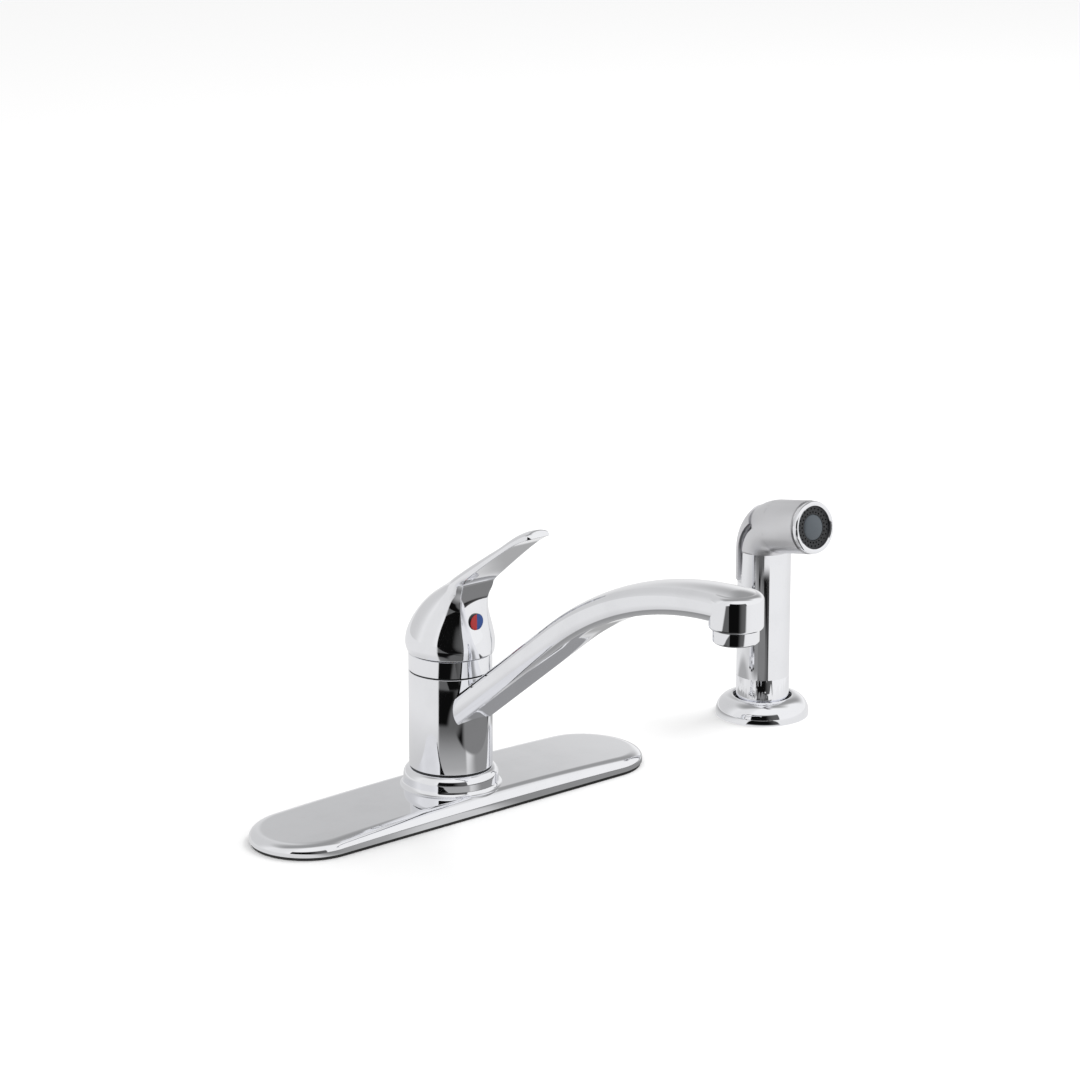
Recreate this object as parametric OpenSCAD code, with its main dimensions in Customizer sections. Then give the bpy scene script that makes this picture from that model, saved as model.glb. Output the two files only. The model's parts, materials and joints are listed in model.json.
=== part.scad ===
// Single-lever kitchen faucet on a deck plate, with a side spray that lifts out of its guide.
// Millimetres. +Z is up, the origin is on the body's axis in the plane of the deck,
// -Y points to the user and +X to the side spray.

/* [Deck plate] */
// Length of the deck plate
plate_l = 255; // [245:1:290]
// Width of the deck plate
plate_w = 61; // [60:1:70]
// Height of the deck plate above the deck, at its middle
plate_h = 10.8; // [10:0.2:13]
// How much lower the plate's top is at its two ends
plate_crown = 3.4; // [1:0.2:4]
// Radius of the plate's upper edge
plate_edge_r = 6.5; // [4:0.5:7]
// Wall of the cast deck plate
plate_wall = 2.2; // [1.8:0.1:2.6]
// Thickness of the rubber gasket under the plate
gasket_t = 1.6; // [1:0.1:2]
// How far the gasket stays inside the plate's outline
gasket_inset = 0.9; // [0.5:0.1:1.5]
// Distance between the two outer deck holes
stud_spacing = 203.2; // [190:0.2:206]

/* [Body] */
// Diameter of the upright body
body_d = 44.6; // [43:0.2:48]
// Height of the seam under the spout's sleeve
collar_top = 20.6; // [19:0.2:23]
// How far the round collar on the plate stands out from the body
collar_over = 3.1; // [2.6:0.1:4]
// Height of the seam above the spout's sleeve
sleeve_top = 74.3; // [74:0.2:80]
// Height of the bonnet ring between the sleeve and the lever
bonnet_h = 10.4; // [9:0.2:13]
// Distance from the body's outside to the brass column inside it
sleeve_wall = 4.3; // [4.1:0.1:4.8]
// Width of the dark seams between the turning pieces
seam_gap = 0.6; // [0.5:0.1:0.8]
// Side clearance between a turning piece and what it turns on
turn_clear = 0.3; // [0.25:0.05:0.4]
// Clearance round a piece that is pushed or screwed into place
fit_clear = 0.1; // [0.05:0.05:0.15]

/* [Spout] */
// Reach from the body's axis to the outlet's axis
spout_reach = 216; // [200:1:240]
// Height on the body's axis that the slope of the spout's underside starts from
spout_root_z = 34.8; // [33:0.2:36]
// Slope of the spout's straight part, in degrees
spout_angle = 37.3; // [36:0.1:39]
// Radius of the curve along the spout's underside
spout_arc_r = 195; // [185:1:200]
// Diameter of the round sides of the spout
spout_d = 26.8; // [25:0.2:28]
// Height of the round sides' centre above the flat underside
spout_flat = 7.5; // [7:0.1:8.5]
// Thickness of the spout at its middle line
spout_t = 15.5; // [14.5:0.1:16]
// Radius of the crowned top of the spout
spout_crown_r = 30; // [26:1:40]
// Height of the waterway's middle above the flat underside
waterway_n = 6.2; // [6:0.1:7]
// Radius that rounds the spout's two top shoulders
shoulder_r = 5; // [3:0.5:6]
// Bore of the waterway in the spout
waterway_d = 8; // [7:0.5:8.5]
// Diameter of the round end that holds the aerator
hub_d = 27.1; // [27.1:0.1:29]
// How far the round end hangs below the flat underside
hub_drop = 3.9; // [3:0.1:5]
// Diameter of the aerator's ring
aerator_d = 23; // [22:0.2:24]
// Height of the aerator's ring below the spout's round end
aerator_h = 7; // [6:0.2:9]
// Diameter of the aerator's thread
aerator_thread_d = 21.6; // [20:0.2:22]
// Length of the aerator's thread
aerator_thread_h = 7; // [6:0.5:8]

/* [Lever] */
// How far the lever's skirt overhangs the bonnet ring
skirt_over = 1.8; // [1.6:0.1:2.4]
// Height of the lever's domed hub above the bonnet ring
dome_h = 36; // [35:0.5:38]
// Reach of the lever's tip from the body's axis
lever_reach = 73; // [66:1:84]
// Height of the lever's tip above the bonnet ring
lever_rise = 76.6; // [75:0.2:80]
// Half of the lever's width where it leaves the dome
lever_root_w = 12.8; // [11:0.2:14]
// Diameter of the two-colour button
button_d = 9.3; // [8:0.1:10]
// Height of the button above the bonnet ring
button_z = 19.6; // [18:0.2:21]

/* [Cartridge] */
// Wall of the brass column round the mixing cartridge
cup_wall = 4; // [3.8:0.1:4.4]
// Height of the cartridge's body
cartridge_h = 24; // [22:0.5:26]
// Width of the cartridge's square stem
stem_w = 7; // [6:0.2:7.6]
// Height of the stem's pivot above the sleeve's top seam
pivot_rise = 1.7; // [1:0.1:3]
// Diameter of the stem's pivot pin
pivot_pin_d = 3; // [2.4:0.1:3.2]

/* [Under the deck] */
// Thickness of the deck that the nuts are set for
deck_t = 25; // [18:1:32]
// Diameter of the threaded shank below the body
shank_d = 32; // [31:0.2:33]
// How far the shank reaches below the deck
shank_tail = 23; // [20:1:35]
// Length of the smooth pilot ends that lead each nut onto its thread
pilot_l = 7; // [5:0.5:8]
// Diameter of the two outer studs
stud_d = 6; // [5:0.2:6.6]
// Diameter of the water inlets' threads
port_d = 9; // [8:0.2:9.4]
// Depth of the water inlets' threads
port_l = 12; // [10:0.5:14]

/* [Side spray] */
// Distance from the body's axis to the side spray's axis
spray_x = 231.5; // [215:0.5:260]
// Diameter of the guide's domed flange
flange_d = 52.8; // [50:0.2:56]
// Height of the guide's domed flange
flange_h = 11.3; // [11:0.1:14]
// Diameter of the spray's handle
wand_d = 30.2; // [29.6:0.1:31]
// Height of the seam between the spray's collar and its handle
wand_base = 23.5; // [22.5:0.1:25]
// Height of the seam between the handle and the spray's head
wand_top = 97; // [95:0.5:104]
// Radius of the bend, to the middle of the head
bend_r = 16.2; // [16:0.1:18]
// Upward tilt of the spray's face, in degrees
head_tilt = 10; // [6:0.5:14]
// Distance from the spray's axis to the front of its face
face_reach = 40; // [38.5:0.5:46]
// Width of the spray's bright face ring, across
face_ring_w = 2.9; // [2.6:0.1:3.2]
// Number of nozzles in the spray's outer row
nozzle_count = 24; // [16:2:26]
// Wall of the spray's shells
wand_wall = 2; // [1.6:0.1:2.2]
// Height of the trigger's lower end above the deck
trigger_z = 80; // [78:0.5:82]
// How far the trigger stands out from the handle
trigger_proud = 1; // [0.8:0.1:1.4]
// Gap below the trigger, which its lower end swings down into
trigger_gap = 1.4; // [1.2:0.1:1.8]

/* [Hidden] */

STEEL = [0.72, 0.73, 0.76];
CHROME = [0.86, 0.87, 0.9];
SATIN = [0.78, 0.78, 0.8];
BRASS = [0.78, 0.62, 0.32];
RUBBER = [0.12, 0.12, 0.13];
BLACK = [0.16, 0.17, 0.19];
GREY = [0.45, 0.49, 0.53];
WHITE = [0.9, 0.9, 0.88];

ROUND = 96;
FINE = 48;
EPS = 0.01;
// Where two lengths of a casting meet, one is larger by this step and runs on into the other
STEP = 0.02;
LAP = 0.5;

body_r = body_d / 2;
column_r = body_r - sleeve_wall;
collar_r = body_r + collar_over;
plate_r = plate_w / 2;
plate_half = plate_l / 2 - plate_r;
bonnet_z = sleeve_top + seam_gap;
bonnet_top = sleeve_top + bonnet_h;
sleeve_z = collar_top + seam_gap + turn_clear;
shank_r = shank_d / 2;
shank_l = deck_t + shank_tail;
nut_z = -deck_t;
washer_t = 2.5;
shank_nut_h = 9;
cartridge_r = column_r - cup_wall;
cartridge_z = sleeve_top - cartridge_h + 2;
column_top = bonnet_top - 4.6;
mouth_z = column_top - 6.5;
mouth_r = column_r - 1.5;
carrier_r = cartridge_r - 4;
pivot_z = sleeve_top + pivot_rise;
aerator_r = aerator_d / 2;
straight_top = spout_reach - spout_arc_r * sin(spout_angle);
straight_l = straight_top / cos(spout_angle);
spout_tip_z = spout_root_z + straight_top * tan(spout_angle) + spout_arc_r * (1 - cos(spout_angle));
arc_centre_z = spout_tip_z - spout_arc_r;
hub_z = spout_tip_z - hub_drop;
hub_r = hub_d / 2;
aerator_z = hub_z - aerator_h;
flange_r = flange_d / 2;
wand_r = wand_d / 2;
guide_bore_r = wand_r - 2.7;
guide_shank_r = guide_bore_r + 2.4;
spigot_r = guide_bore_r - 2.6;
bend_turn = 90 - head_tilt;
trigger_wrap = 66;

// Points of an arc round [cx, cy], from angle a to angle b
function arc(cx, cy, r, a, b, n) =
    [for (i = [0:n]) let (t = a + (b - a) * i / max(n, 1)) [cx + r * cos(t), cy + r * sin(t)]];

// Points of a quarter-like ellipse arc round [cx, cy]
function oval(cx, cy, rx, ry, a, b, n) =
    [for (i = [0:n]) let (t = a + (b - a) * i / n) [cx + rx * cos(t), cy + ry * sin(t)]];

module tube(r_out, r_in, z0, z1, fn = ROUND) {
    difference() {
        translate([0, 0, z0]) cylinder(r = r_out, h = z1 - z0, $fn = fn);
        translate([0, 0, z0 - 1]) cylinder(r = r_in, h = z1 - z0 + 2, $fn = fn);
    }
}

module hexagon(across, z0, z1) {
    translate([0, 0, z0]) cylinder(d = across / cos(30), h = z1 - z0, $fn = 6);
}

// Deck plate: a stadium with a rounded upper edge, crowned along its length

// Half of the plate's cross-section, from the centre line outwards
module plate_profile(half_w, height, edge_r, z0) {
    polygon(concat(
        [[0, z0], [half_w, z0]],
        oval(half_w - edge_r, height - edge_r, edge_r, edge_r, 0, 90, 16),
        [[0, height]]));
}

module stadium(half_w, height, edge_r, z0) {
    for (side = [-1, 1])
        translate([side * plate_half, 0, 0])
            rotate([0, 0, side > 0 ? -90 : 90])
                rotate_extrude(angle = 180, $fn = ROUND) plate_profile(half_w, height, edge_r, z0);
    rotate([90, 0, 90])
        translate([0, 0, -plate_half])
            linear_extrude(2 * plate_half) {
                plate_profile(half_w, height, edge_r, z0);
                mirror([1, 0]) plate_profile(half_w, height, edge_r, z0);
            }
}

// Large cylinder across the plate whose top gives the crown
module crown_roll(top) {
    roll_r = pow(plate_l / 2, 2) / (2 * plate_crown);
    translate([0, plate_w, top - roll_r])
        rotate([90, 0, 0]) cylinder(r = roll_r, h = 2 * plate_w, $fn = 1800);
}

module crowned_stadium(half_w, height, edge_r, z0) {
    intersection() {
        stadium(half_w, height, edge_r, z0);
        crown_roll(height);
    }
}

// Round collar that the body rises from, with a rounded shoulder and a small fillet below
module collar_profile() {
    fillet = 2.6;
    shoulder_h = 4.6;
    polygon(concat(
        [[0, plate_h - plate_wall], [0, collar_top], [body_r - 0.6, collar_top]],
        oval(body_r - 0.6, collar_top - shoulder_h, collar_r - body_r + 0.6, shoulder_h, 90, 0, 12),
        oval(collar_r + fillet, plate_h + fillet - 0.25, fillet, fillet, 180, 270, 8),
        [[collar_r + fillet, plate_h - plate_wall]]));
}

stud_boss_r = stud_d / 2 + 3;

module deck_plate() {
    color(CHROME) difference() {
        union() {
            crowned_stadium(plate_r, plate_h, plate_edge_r, gasket_t);
            rotate_extrude($fn = ROUND) collar_profile();
        }
        difference() {
            crowned_stadium(plate_r - plate_wall, plate_h - plate_wall, plate_edge_r - plate_wall, -1);
            cylinder(r = column_r + fit_clear + plate_wall, h = plate_h, $fn = ROUND);
            for (x = [-0.5, 0.5])
                translate([x * stud_spacing, 0, gasket_t])
                    cylinder(r = stud_boss_r, h = plate_h, $fn = FINE);
        }
        translate([0, 0, -2]) cylinder(r = column_r + fit_clear, h = collar_top + 4, $fn = ROUND);
        translate([0, 0, gasket_t - EPS])
            mirror([0, 0, 1]) cylinder(r = plate_w, h = 4, $fn = ROUND);
        for (x = [-0.5, 0.5])
            translate([x * stud_spacing, 0, -2])
                cylinder(d = stud_d + 2 * fit_clear, h = plate_h - plate_crown - 1.2, $fn = FINE);
    }
}

module deck_gasket() {
    foot_r = plate_r - gasket_inset;
    lip = 5;
    color(RUBBER) difference() {
        stadium_disc(foot_r, gasket_t);
        difference() {
            translate([0, 0, -1]) stadium_disc(foot_r - lip, gasket_t + 2);
            cylinder(r = column_r + lip, h = gasket_t, $fn = ROUND);
            translate([-plate_l / 2, -lip / 2, 0]) cube([plate_l, lip, gasket_t]);
            for (x = [-0.5, 0.5])
                translate([x * stud_spacing, 0, 0])
                    cylinder(r = stud_boss_r + 1, h = gasket_t, $fn = FINE);
        }
        translate([0, 0, -1]) cylinder(r = column_r + fit_clear, h = gasket_t + 2, $fn = ROUND);
        for (x = [-0.5, 0.5])
            translate([x * stud_spacing, 0, -1])
                cylinder(d = stud_d + 2 * fit_clear, h = gasket_t + 2, $fn = FINE);
    }
}

module stadium_disc(r, h) {
    for (side = [-1, 1])
        translate([side * plate_half, 0, 0]) cylinder(r = r, h = h, $fn = ROUND);
    translate([-plate_half, -r, 0]) cube([2 * plate_half, 2 * r, h]);
}

// Valve body: a brass column with a cup for the cartridge, O-ring grooves,
// two inlets, one outlet for the spray and a threaded shank through the deck

ring_cord = 2.4;
ring_run = 0.06;
ring_z = [collar_top + 12, mouth_z - 9.6];
ring_seat = 1.9;
sleeve_in = column_r + 0.7;
outlet_h = 14;
outlet_z = ring_z[1] - outlet_h / 2 - 2.8;
port_ring_r = shank_r - port_d / 2 - 3.2;
port_angles = [150, 30, 270];
diverter_r = 4;
diverter_z = 6;

module valve_body() {
    cup_r = cartridge_r + fit_clear;
    color(BRASS) difference() {
        union() {
            translate([0, 0, pilot_l - shank_l])
                cylinder(r = shank_r, h = shank_l - pilot_l, $fn = ROUND);
            translate([0, 0, -shank_l]) cylinder(r = shank_r - 1.5, h = pilot_l + EPS, $fn = ROUND);
            cylinder(r = column_r, h = column_top, $fn = ROUND);
        }
        translate([0, 0, cartridge_z]) cylinder(r = cup_r, h = cartridge_h + 10, $fn = ROUND);
        translate([0, 0, mouth_z]) cylinder(r = mouth_r, h = column_top, $fn = ROUND);
        for (z = ring_z) ring_groove(z);
        outlet_groove();
        for (a = port_angles) rotate([0, 0, a]) translate([port_ring_r, 0, -shank_l]) {
            translate([0, 0, -1]) cylinder(d = port_d, h = port_l + 1, $fn = FINE);
            cylinder(d = port_d - 3.4, h = shank_l + (a == port_angles[2] ? diverter_z : cartridge_z + 1),
                $fn = FINE);
        }
        translate([0, -port_ring_r, diverter_z])
            cylinder(r = diverter_r + 1.5, h = ring_z[0] + 7 - diverter_z, $fn = FINE);
        translate([0, -column_r - 1, cartridge_z - 3.4])
            rotate([-90, 0, 0]) cylinder(d = 5, h = column_r - port_ring_r + 1, $fn = FINE);
        translate([0, -port_ring_r, ring_z[0] + 6])
            cylinder(d = 5, h = cartridge_z - ring_z[0], $fn = FINE);
    }
}

module ring_groove(z) {
    difference() {
        translate([0, 0, z - ring_cord / 2 - 0.2])
            cylinder(r = column_r + 1, h = ring_cord + 0.4, $fn = ROUND);
        translate([0, 0, z - ring_cord]) cylinder(r = column_r - ring_seat, h = 2 * ring_cord, $fn = ROUND);
    }
}

module outlet_groove() {
    difference() {
        translate([0, 0, outlet_z - outlet_h / 2]) cylinder(r = column_r + 1, h = outlet_h, $fn = ROUND);
        translate([0, 0, outlet_z - outlet_h / 2 - 1])
            cylinder(r = column_r - 1.6, h = outlet_h + 2, $fn = ROUND);
    }
}

module spout_o_rings() {
    color(RUBBER) for (z = ring_z)
        rotate_extrude($fn = ROUND)
            translate([sleeve_in - ring_run - ring_cord / 2, z]) circle(d = ring_cord, $fn = 24);
}

module lower_wear_ring() {
    color(BLACK) tube(body_r - 0.5, column_r + fit_clear, collar_top, collar_top + seam_gap);
}

module upper_wear_ring() {
    color(BLACK) tube(body_r - 0.5, column_r + fit_clear, sleeve_top, sleeve_top + seam_gap);
}

module bonnet_ring() {
    lip_in = mouth_r - 1.5;
    color(CHROME) rotate_extrude($fn = ROUND) polygon([
        [column_r + fit_clear, bonnet_z], [body_r, bonnet_z], [body_r, bonnet_top - 1],
        [body_r - 0.6, bonnet_top - 0.3], [lip_in, bonnet_top - 0.3], [lip_in, bonnet_top - 2],
        [column_r + fit_clear, bonnet_top - 4]]);
}

module cartridge_body() {
    color(WHITE) difference() {
        union() {
            translate([0, 0, cartridge_z + 1.6])
                cylinder(r = cartridge_r, h = cartridge_h - 1.6, $fn = ROUND);
            translate([0, 0, mouth_z + 0.1])
                cylinder(r = mouth_r - 0.4, h = cartridge_z + cartridge_h - mouth_z - 0.1, $fn = ROUND);
        }
        translate([0, 0, pivot_z - 6])
            cylinder(r = carrier_r + turn_clear, h = cartridge_h, $fn = ROUND);
        for (a = port_angles) rotate([0, 0, a]) translate([port_ring_r, 0, cartridge_z - 1])
            cylinder(d = 4, h = 10, $fn = FINE);
    }
}

module cartridge_seals() {
    seal_cord = 1.8;
    color(RUBBER) for (a = port_angles) rotate([0, 0, a])
        translate([port_ring_r, 0, cartridge_z + 0.05])
            tube(2.9, 2, 0, 1.5, FINE);
}

module cartridge_nut() {
    foot = cartridge_z + cartridge_h + 0.1;
    color(BRASS) difference() {
        union() {
            translate([0, 0, foot])
                cylinder(r = mouth_r - fit_clear, h = column_top + 0.2 - foot, $fn = ROUND);
            hexagon(24, foot + 1, bonnet_top - 1.3);
        }
        translate([0, 0, sleeve_top - 20]) cylinder(r = carrier_r + turn_clear, h = 60, $fn = ROUND);
    }
}

module cartridge_carrier() {
    color(WHITE) difference() {
        translate([0, 0, pivot_z - 5.5]) cylinder(r = carrier_r, h = 11.5, $fn = ROUND);
        translate([-stem_w / 2 - 0.5, -carrier_r + 1.6, pivot_z - 4.5])
            cube([stem_w + 1, 2 * carrier_r - 3.2, 20]);
        translate([-carrier_r - 1, 0, pivot_z]) rotate([0, 90, 0])
            cylinder(d = pivot_pin_d + 2 * fit_clear, h = 2 * carrier_r + 2, $fn = FINE);
    }
}

module stem_pivot_pin() {
    color(STEEL) translate([-carrier_r + 0.6, 0, pivot_z]) rotate([0, 90, 0])
        cylinder(d = pivot_pin_d, h = 2 * carrier_r - 1.2, $fn = FINE);
}

stem_top = bonnet_top + button_z + 3.6;

module cartridge_stem() {
    color(STEEL) difference() {
        union() {
            translate([-stem_w / 2, 0, pivot_z]) rotate([0, 90, 0])
                cylinder(d = stem_w, h = stem_w, $fn = FINE);
            translate([-stem_w / 2, -stem_w / 2, pivot_z]) cube([stem_w, stem_w, stem_top - pivot_z]);
        }
        translate([-stem_w, 0, pivot_z]) rotate([0, 90, 0])
            cylinder(d = pivot_pin_d + 2 * fit_clear, h = 2 * stem_w, $fn = FINE);
    }
}

module diverter_seat() {
    color(BLACK) translate([0, -port_ring_r, diverter_z + 0.1])
        tube(diverter_r + 1.4, diverter_r - 1, 0, 4, FINE);
}

module diverter_piston() {
    color(WHITE) translate([0, -port_ring_r, diverter_z + 4.4]) {
        cylinder(r = diverter_r + 1.2, h = 2, $fn = FINE);
        cylinder(r = diverter_r - 1.6, h = 10, $fn = FINE);
    }
}

// Parts below the deck

module shank_washer() {
    color(STEEL) tube(shank_r + 8, shank_r + fit_clear, nut_z - washer_t, nut_z);
}

module shank_nut() {
    color(BRASS) difference() {
        hexagon(2 * shank_r + 12, nut_z - washer_t - shank_nut_h, nut_z - washer_t);
        translate([0, 0, nut_z - washer_t - shank_nut_h - 1])
            cylinder(r = shank_r + fit_clear, h = shank_nut_h + 2, $fn = ROUND);
    }
}

stud_top = plate_h - plate_crown - 3.4;
stud_l = deck_t + 22;

module plate_studs() {
    color(BRASS) for (x = [-0.5, 0.5])
        translate([x * stud_spacing, 0, stud_top - stud_l]) {
            translate([0, 0, pilot_l]) cylinder(d = stud_d, h = stud_l - pilot_l, $fn = FINE);
            cylinder(d = stud_d - 1.6, h = pilot_l + EPS, $fn = FINE);
        }
}

module stud_washers() {
    color(STEEL) for (x = [-0.5, 0.5])
        translate([x * stud_spacing, 0, 0])
            tube(stud_d / 2 + 8, stud_d / 2 + fit_clear, nut_z - 1.5, nut_z, FINE);
}

module stud_wing_nuts() {
    hub = stud_d / 2 + 3.5;
    color(BRASS) for (x = [-0.5, 0.5]) translate([x * stud_spacing, 0, nut_z - 1.5 - 8]) difference() {
        union() {
            cylinder(r = hub, h = 8, $fn = FINE);
            for (side = [-1, 1])
                translate([side * (hub + 4), 1.4, 3])
                    rotate([90, 0, 0]) cylinder(r = 4.6, h = 2.8, $fn = FINE);
        }
        translate([0, 0, -1]) cylinder(d = stud_d + 2 * fit_clear, h = 10, $fn = FINE);
    }
}

// Spout: the section is a circle cut flat below and crowned above, with rounded shoulders.
// It runs straight up from the body and then along an arc that ends level over the outlet.

side_r = spout_d / 2;
crown_n = spout_t - spout_crown_r;
shoulder_n = let (
        a = side_r - shoulder_r,
        b = spout_crown_r - shoulder_r,
        d = spout_flat - crown_n)
    spout_flat - (a * a - b * b + d * d) / (2 * d);
shoulder_x = sqrt(pow(side_r - shoulder_r, 2) - pow(shoulder_n - spout_flat, 2));

// The spout's section, made larger all round by grow
module spout_section(grow = 0) {
    low = atan2(shoulder_n - spout_flat, shoulder_x);
    high = atan2(shoulder_n - crown_n, shoulder_x);
    r = shoulder_r + grow;
    far = 2 * shoulder_r;
    difference() {
        intersection() {
            translate([0, spout_flat]) circle(r = side_r + grow, $fn = ROUND);
            translate([0, crown_n]) circle(r = spout_crown_r + grow, $fn = 2 * ROUND);
            translate([-spout_d, -grow]) square([2 * spout_d, spout_d]);
        }
        for (mirrored = [0, 1]) mirror([mirrored, 0])
            translate([shoulder_x, shoulder_n]) polygon(concat(
                arc(0, 0, r + 0.1, low, low, 0),
                arc(0, 0, r, low + 5, high - 5, 7),
                arc(0, 0, r + 0.1, high, high, 0),
                arc(0, 0, far, high, low, 3)));
    }
}

// Puts a child that is drawn about the outlet's axis in its place
module at_outlet() {
    translate([0, -spout_reach, 0]) children();
}

// Straight part: drawn upright along +Z and leaned over onto the spout's slope
module spout_straight() {
    lean = 90 - spout_angle;
    translate([0, -straight_top, spout_tip_z - spout_arc_r * (1 - cos(spout_angle))])
        rotate([lean, 0, 0]) translate([0, 0, -straight_l])
            linear_extrude(straight_l + LAP) spout_section(STEP);
}

// Turns a child round the arc; it is drawn with x as the distance from the arc's centre
module on_arc() {
    translate([0, -spout_reach, arc_centre_z])
        rotate([0, 90, 0]) rotate([0, 0, 180 - spout_angle])
            rotate_extrude(angle = spout_angle, $fn = 360) children();
}

module spout_curve() {
    on_arc() translate([spout_arc_r, 0]) rotate([0, 0, -90]) spout_section();
}

// Round nose: the section turned half round the outlet's axis, over a short cylinder
module spout_nose() {
    foot_r = 1.6;
    at_outlet() {
        translate([0, LAP, spout_tip_z]) rotate([90, 0, 0]) linear_extrude(LAP) spout_section(STEP);
        rotate([0, 0, 180]) rotate_extrude(angle = 180, $fn = ROUND) intersection() {
            translate([0, spout_tip_z]) spout_section(STEP);
            translate([0, hub_z]) square([spout_d, spout_d]);
        }
        rotate_extrude($fn = ROUND) {
            translate([0, hub_z]) square([hub_r - foot_r, foot_r]);
            translate([0, hub_z + foot_r]) square([hub_r, spout_tip_z + spout_flat - hub_z - foot_r]);
            intersection() {
                translate([hub_r - foot_r, hub_z + foot_r]) circle(r = foot_r, $fn = FINE);
                translate([0, hub_z]) square([hub_r, foot_r + EPS]);
            }
        }
    }
}

// Waterway: follows the arm a little below its middle, from the sleeve to the outlet
module waterway() {
    along = waterway_n;
    arc_foot = spout_arc_r + along;
    translate([0, -spout_reach + arc_foot * sin(spout_angle), arc_centre_z + arc_foot * cos(spout_angle)])
        rotate([90 - spout_angle, 0, 0]) translate([0, 0, -straight_l + column_r])
            cylinder(d = waterway_d, h = straight_l - column_r, $fn = FINE);
    on_arc() translate([arc_foot, 0]) circle(d = waterway_d, $fn = FINE);
}

module spout() {
    color(CHROME) difference() {
        union() {
            translate([0, 0, sleeve_z])
                cylinder(r = body_r, h = sleeve_top - turn_clear - sleeve_z, $fn = ROUND);
            difference() {
                union() {
                    spout_straight();
                    spout_curve();
                }
                translate([0, 0, sleeve_z]) cylinder(r = column_r + 2, h = sleeve_top, $fn = ROUND);
                translate([-body_r, 0, 0]) cube([body_d, body_d, sleeve_top]);
            }
            spout_nose();
        }
        translate([0, 0, sleeve_z - 1]) cylinder(r = sleeve_in, h = sleeve_top, $fn = ROUND);
        waterway();
        at_outlet() translate([0, 0, hub_z - 1])
            cylinder(d = aerator_thread_d, h = aerator_thread_h + 2.8, $fn = ROUND);
    }
}

// Aerator: washer, mesh insert and chrome ring screwed into the spout's end

module aerator_washer() {
    color(RUBBER) at_outlet() translate([0, 0, hub_z + aerator_thread_h + 0.2])
        tube(aerator_thread_d / 2 - fit_clear, 6.5, 0, 1.4, FINE);
}

module aerator_insert() {
    insert_r = aerator_r - 2.6;
    slots = 8;
    color(BLACK) at_outlet() difference() {
        translate([0, 0, aerator_z + 1.2])
            cylinder(r = insert_r, h = aerator_thread_h + aerator_h - 1.6, $fn = ROUND);
        for (i = [1:3]) translate([0, 0, aerator_z]) tube(1.1 + 2.1 * i, 2.1 * i, 0, 2.6, FINE);
        for (i = [0:slots - 1]) rotate([0, 0, i * 360 / slots])
            translate([insert_r - 1.5, -0.7, aerator_z + 5]) cube([3, 1.4, 4]);
        translate([0, 0, aerator_z + 8]) cylinder(r = insert_r - 1.4, h = 10, $fn = ROUND);
    }
}

module aerator_housing() {
    bore = aerator_r - 2.6 + fit_clear;
    color(CHROME) at_outlet() difference() {
        rotate_extrude($fn = ROUND) polygon([
            [bore - 0.9, aerator_z], [aerator_r - 0.8, aerator_z], [aerator_r, aerator_z + 0.8],
            [aerator_r, hub_z - 0.25], [aerator_thread_d / 2 - fit_clear, hub_z - 0.25],
            [aerator_thread_d / 2 - fit_clear, hub_z + aerator_thread_h - 0.1],
            [bore, hub_z + aerator_thread_h - 0.1], [bore, aerator_z + 1.1], [bore - 0.9, aerator_z + 1.1]]);
    }
}

// Lever: a hollow shell lofted through stations that fan from the level skirt to the sloping blade.
// Each station gives the front edge, the half width there, the front's bulge, the back, the
// half width at the middle and where that widest place is, from 0 at the front to 1 at the back.

skirt_r = body_r + skirt_over;

// Stations of the skirt and dome: [front, z, half width, bulge, back, z, half width, widest]
dome_rows = [
    [0.90, 0.000, 0.40, 0.085, -0.955, 0.000, 0.955, 0.48],
    [0.905, 0.064, 0.40, 0.085, -0.988, 0.064, 0.985, 0.48],
    [0.905, 0.140, 0.40, 0.085, -1.000, 0.140, 1.000, 0.48],
    [0.885, 0.250, 0.39, 0.080, -0.975, 0.270, 0.980, 0.48],
    [0.855, 0.360, 0.39, 0.075, -0.900, 0.400, 0.925, 0.48],
    [0.830, 0.475, 0.385, 0.065, -0.780, 0.540, 0.850, 0.48],
    [0.812, 0.590, 0.38, 0.055, -0.620, 0.680, 0.765, 0.48],
    [0.800, 0.700, 0.375, 0.045, -0.420, 0.810, 0.695, 0.47],
    [0.805, 0.810, 0.38, 0.035, -0.190, 0.925, 0.640, 0.46],
    [0.835, 0.915, 0.40, 0.025, 0.060, 1.030, 0.605, 0.44],
    [0.900, 1.020, 0.44, 0.015, 0.320, 1.140, 0.580, 0.42]
];
// Stations of the blade, as parts of the lever's reach, rise and root width
blade_rows = [
    [0.320, 0.539, 0.84, 0.3, 0.178, 0.583, 1.09, 0.41],
    [0.363, 0.586, 0.97, 0.1, 0.267, 0.638, 1.07, 0.40],
    [0.418, 0.630, 0.99, 0, 0.342, 0.687, 1.04, 0.38],
    [0.493, 0.685, 0.95, 0, 0.432, 0.743, 0.985, 0.37],
    [0.596, 0.760, 0.90, 0, 0.544, 0.812, 0.93, 0.36],
    [0.722, 0.847, 0.81, 0, 0.677, 0.892, 0.845, 0.36],
    [0.830, 0.922, 0.715, 0, 0.789, 0.965, 0.75, 0.36],
    [0.911, 0.967, 0.595, 0, 0.881, 1.009, 0.63, 0.38],
    [0.966, 0.990, 0.435, 0, 0.948, 1.022, 0.47, 0.42],
    [1.000, 1.000, 0.17, 0, 0.992, 1.021, 0.20, 0.48]
];

function dome_station(r) = [
    skirt_r * r[0], dome_h * r[1], skirt_r * r[2], skirt_r * r[3],
    skirt_r * r[4], dome_h * r[5], skirt_r * r[6], r[7]];

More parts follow.
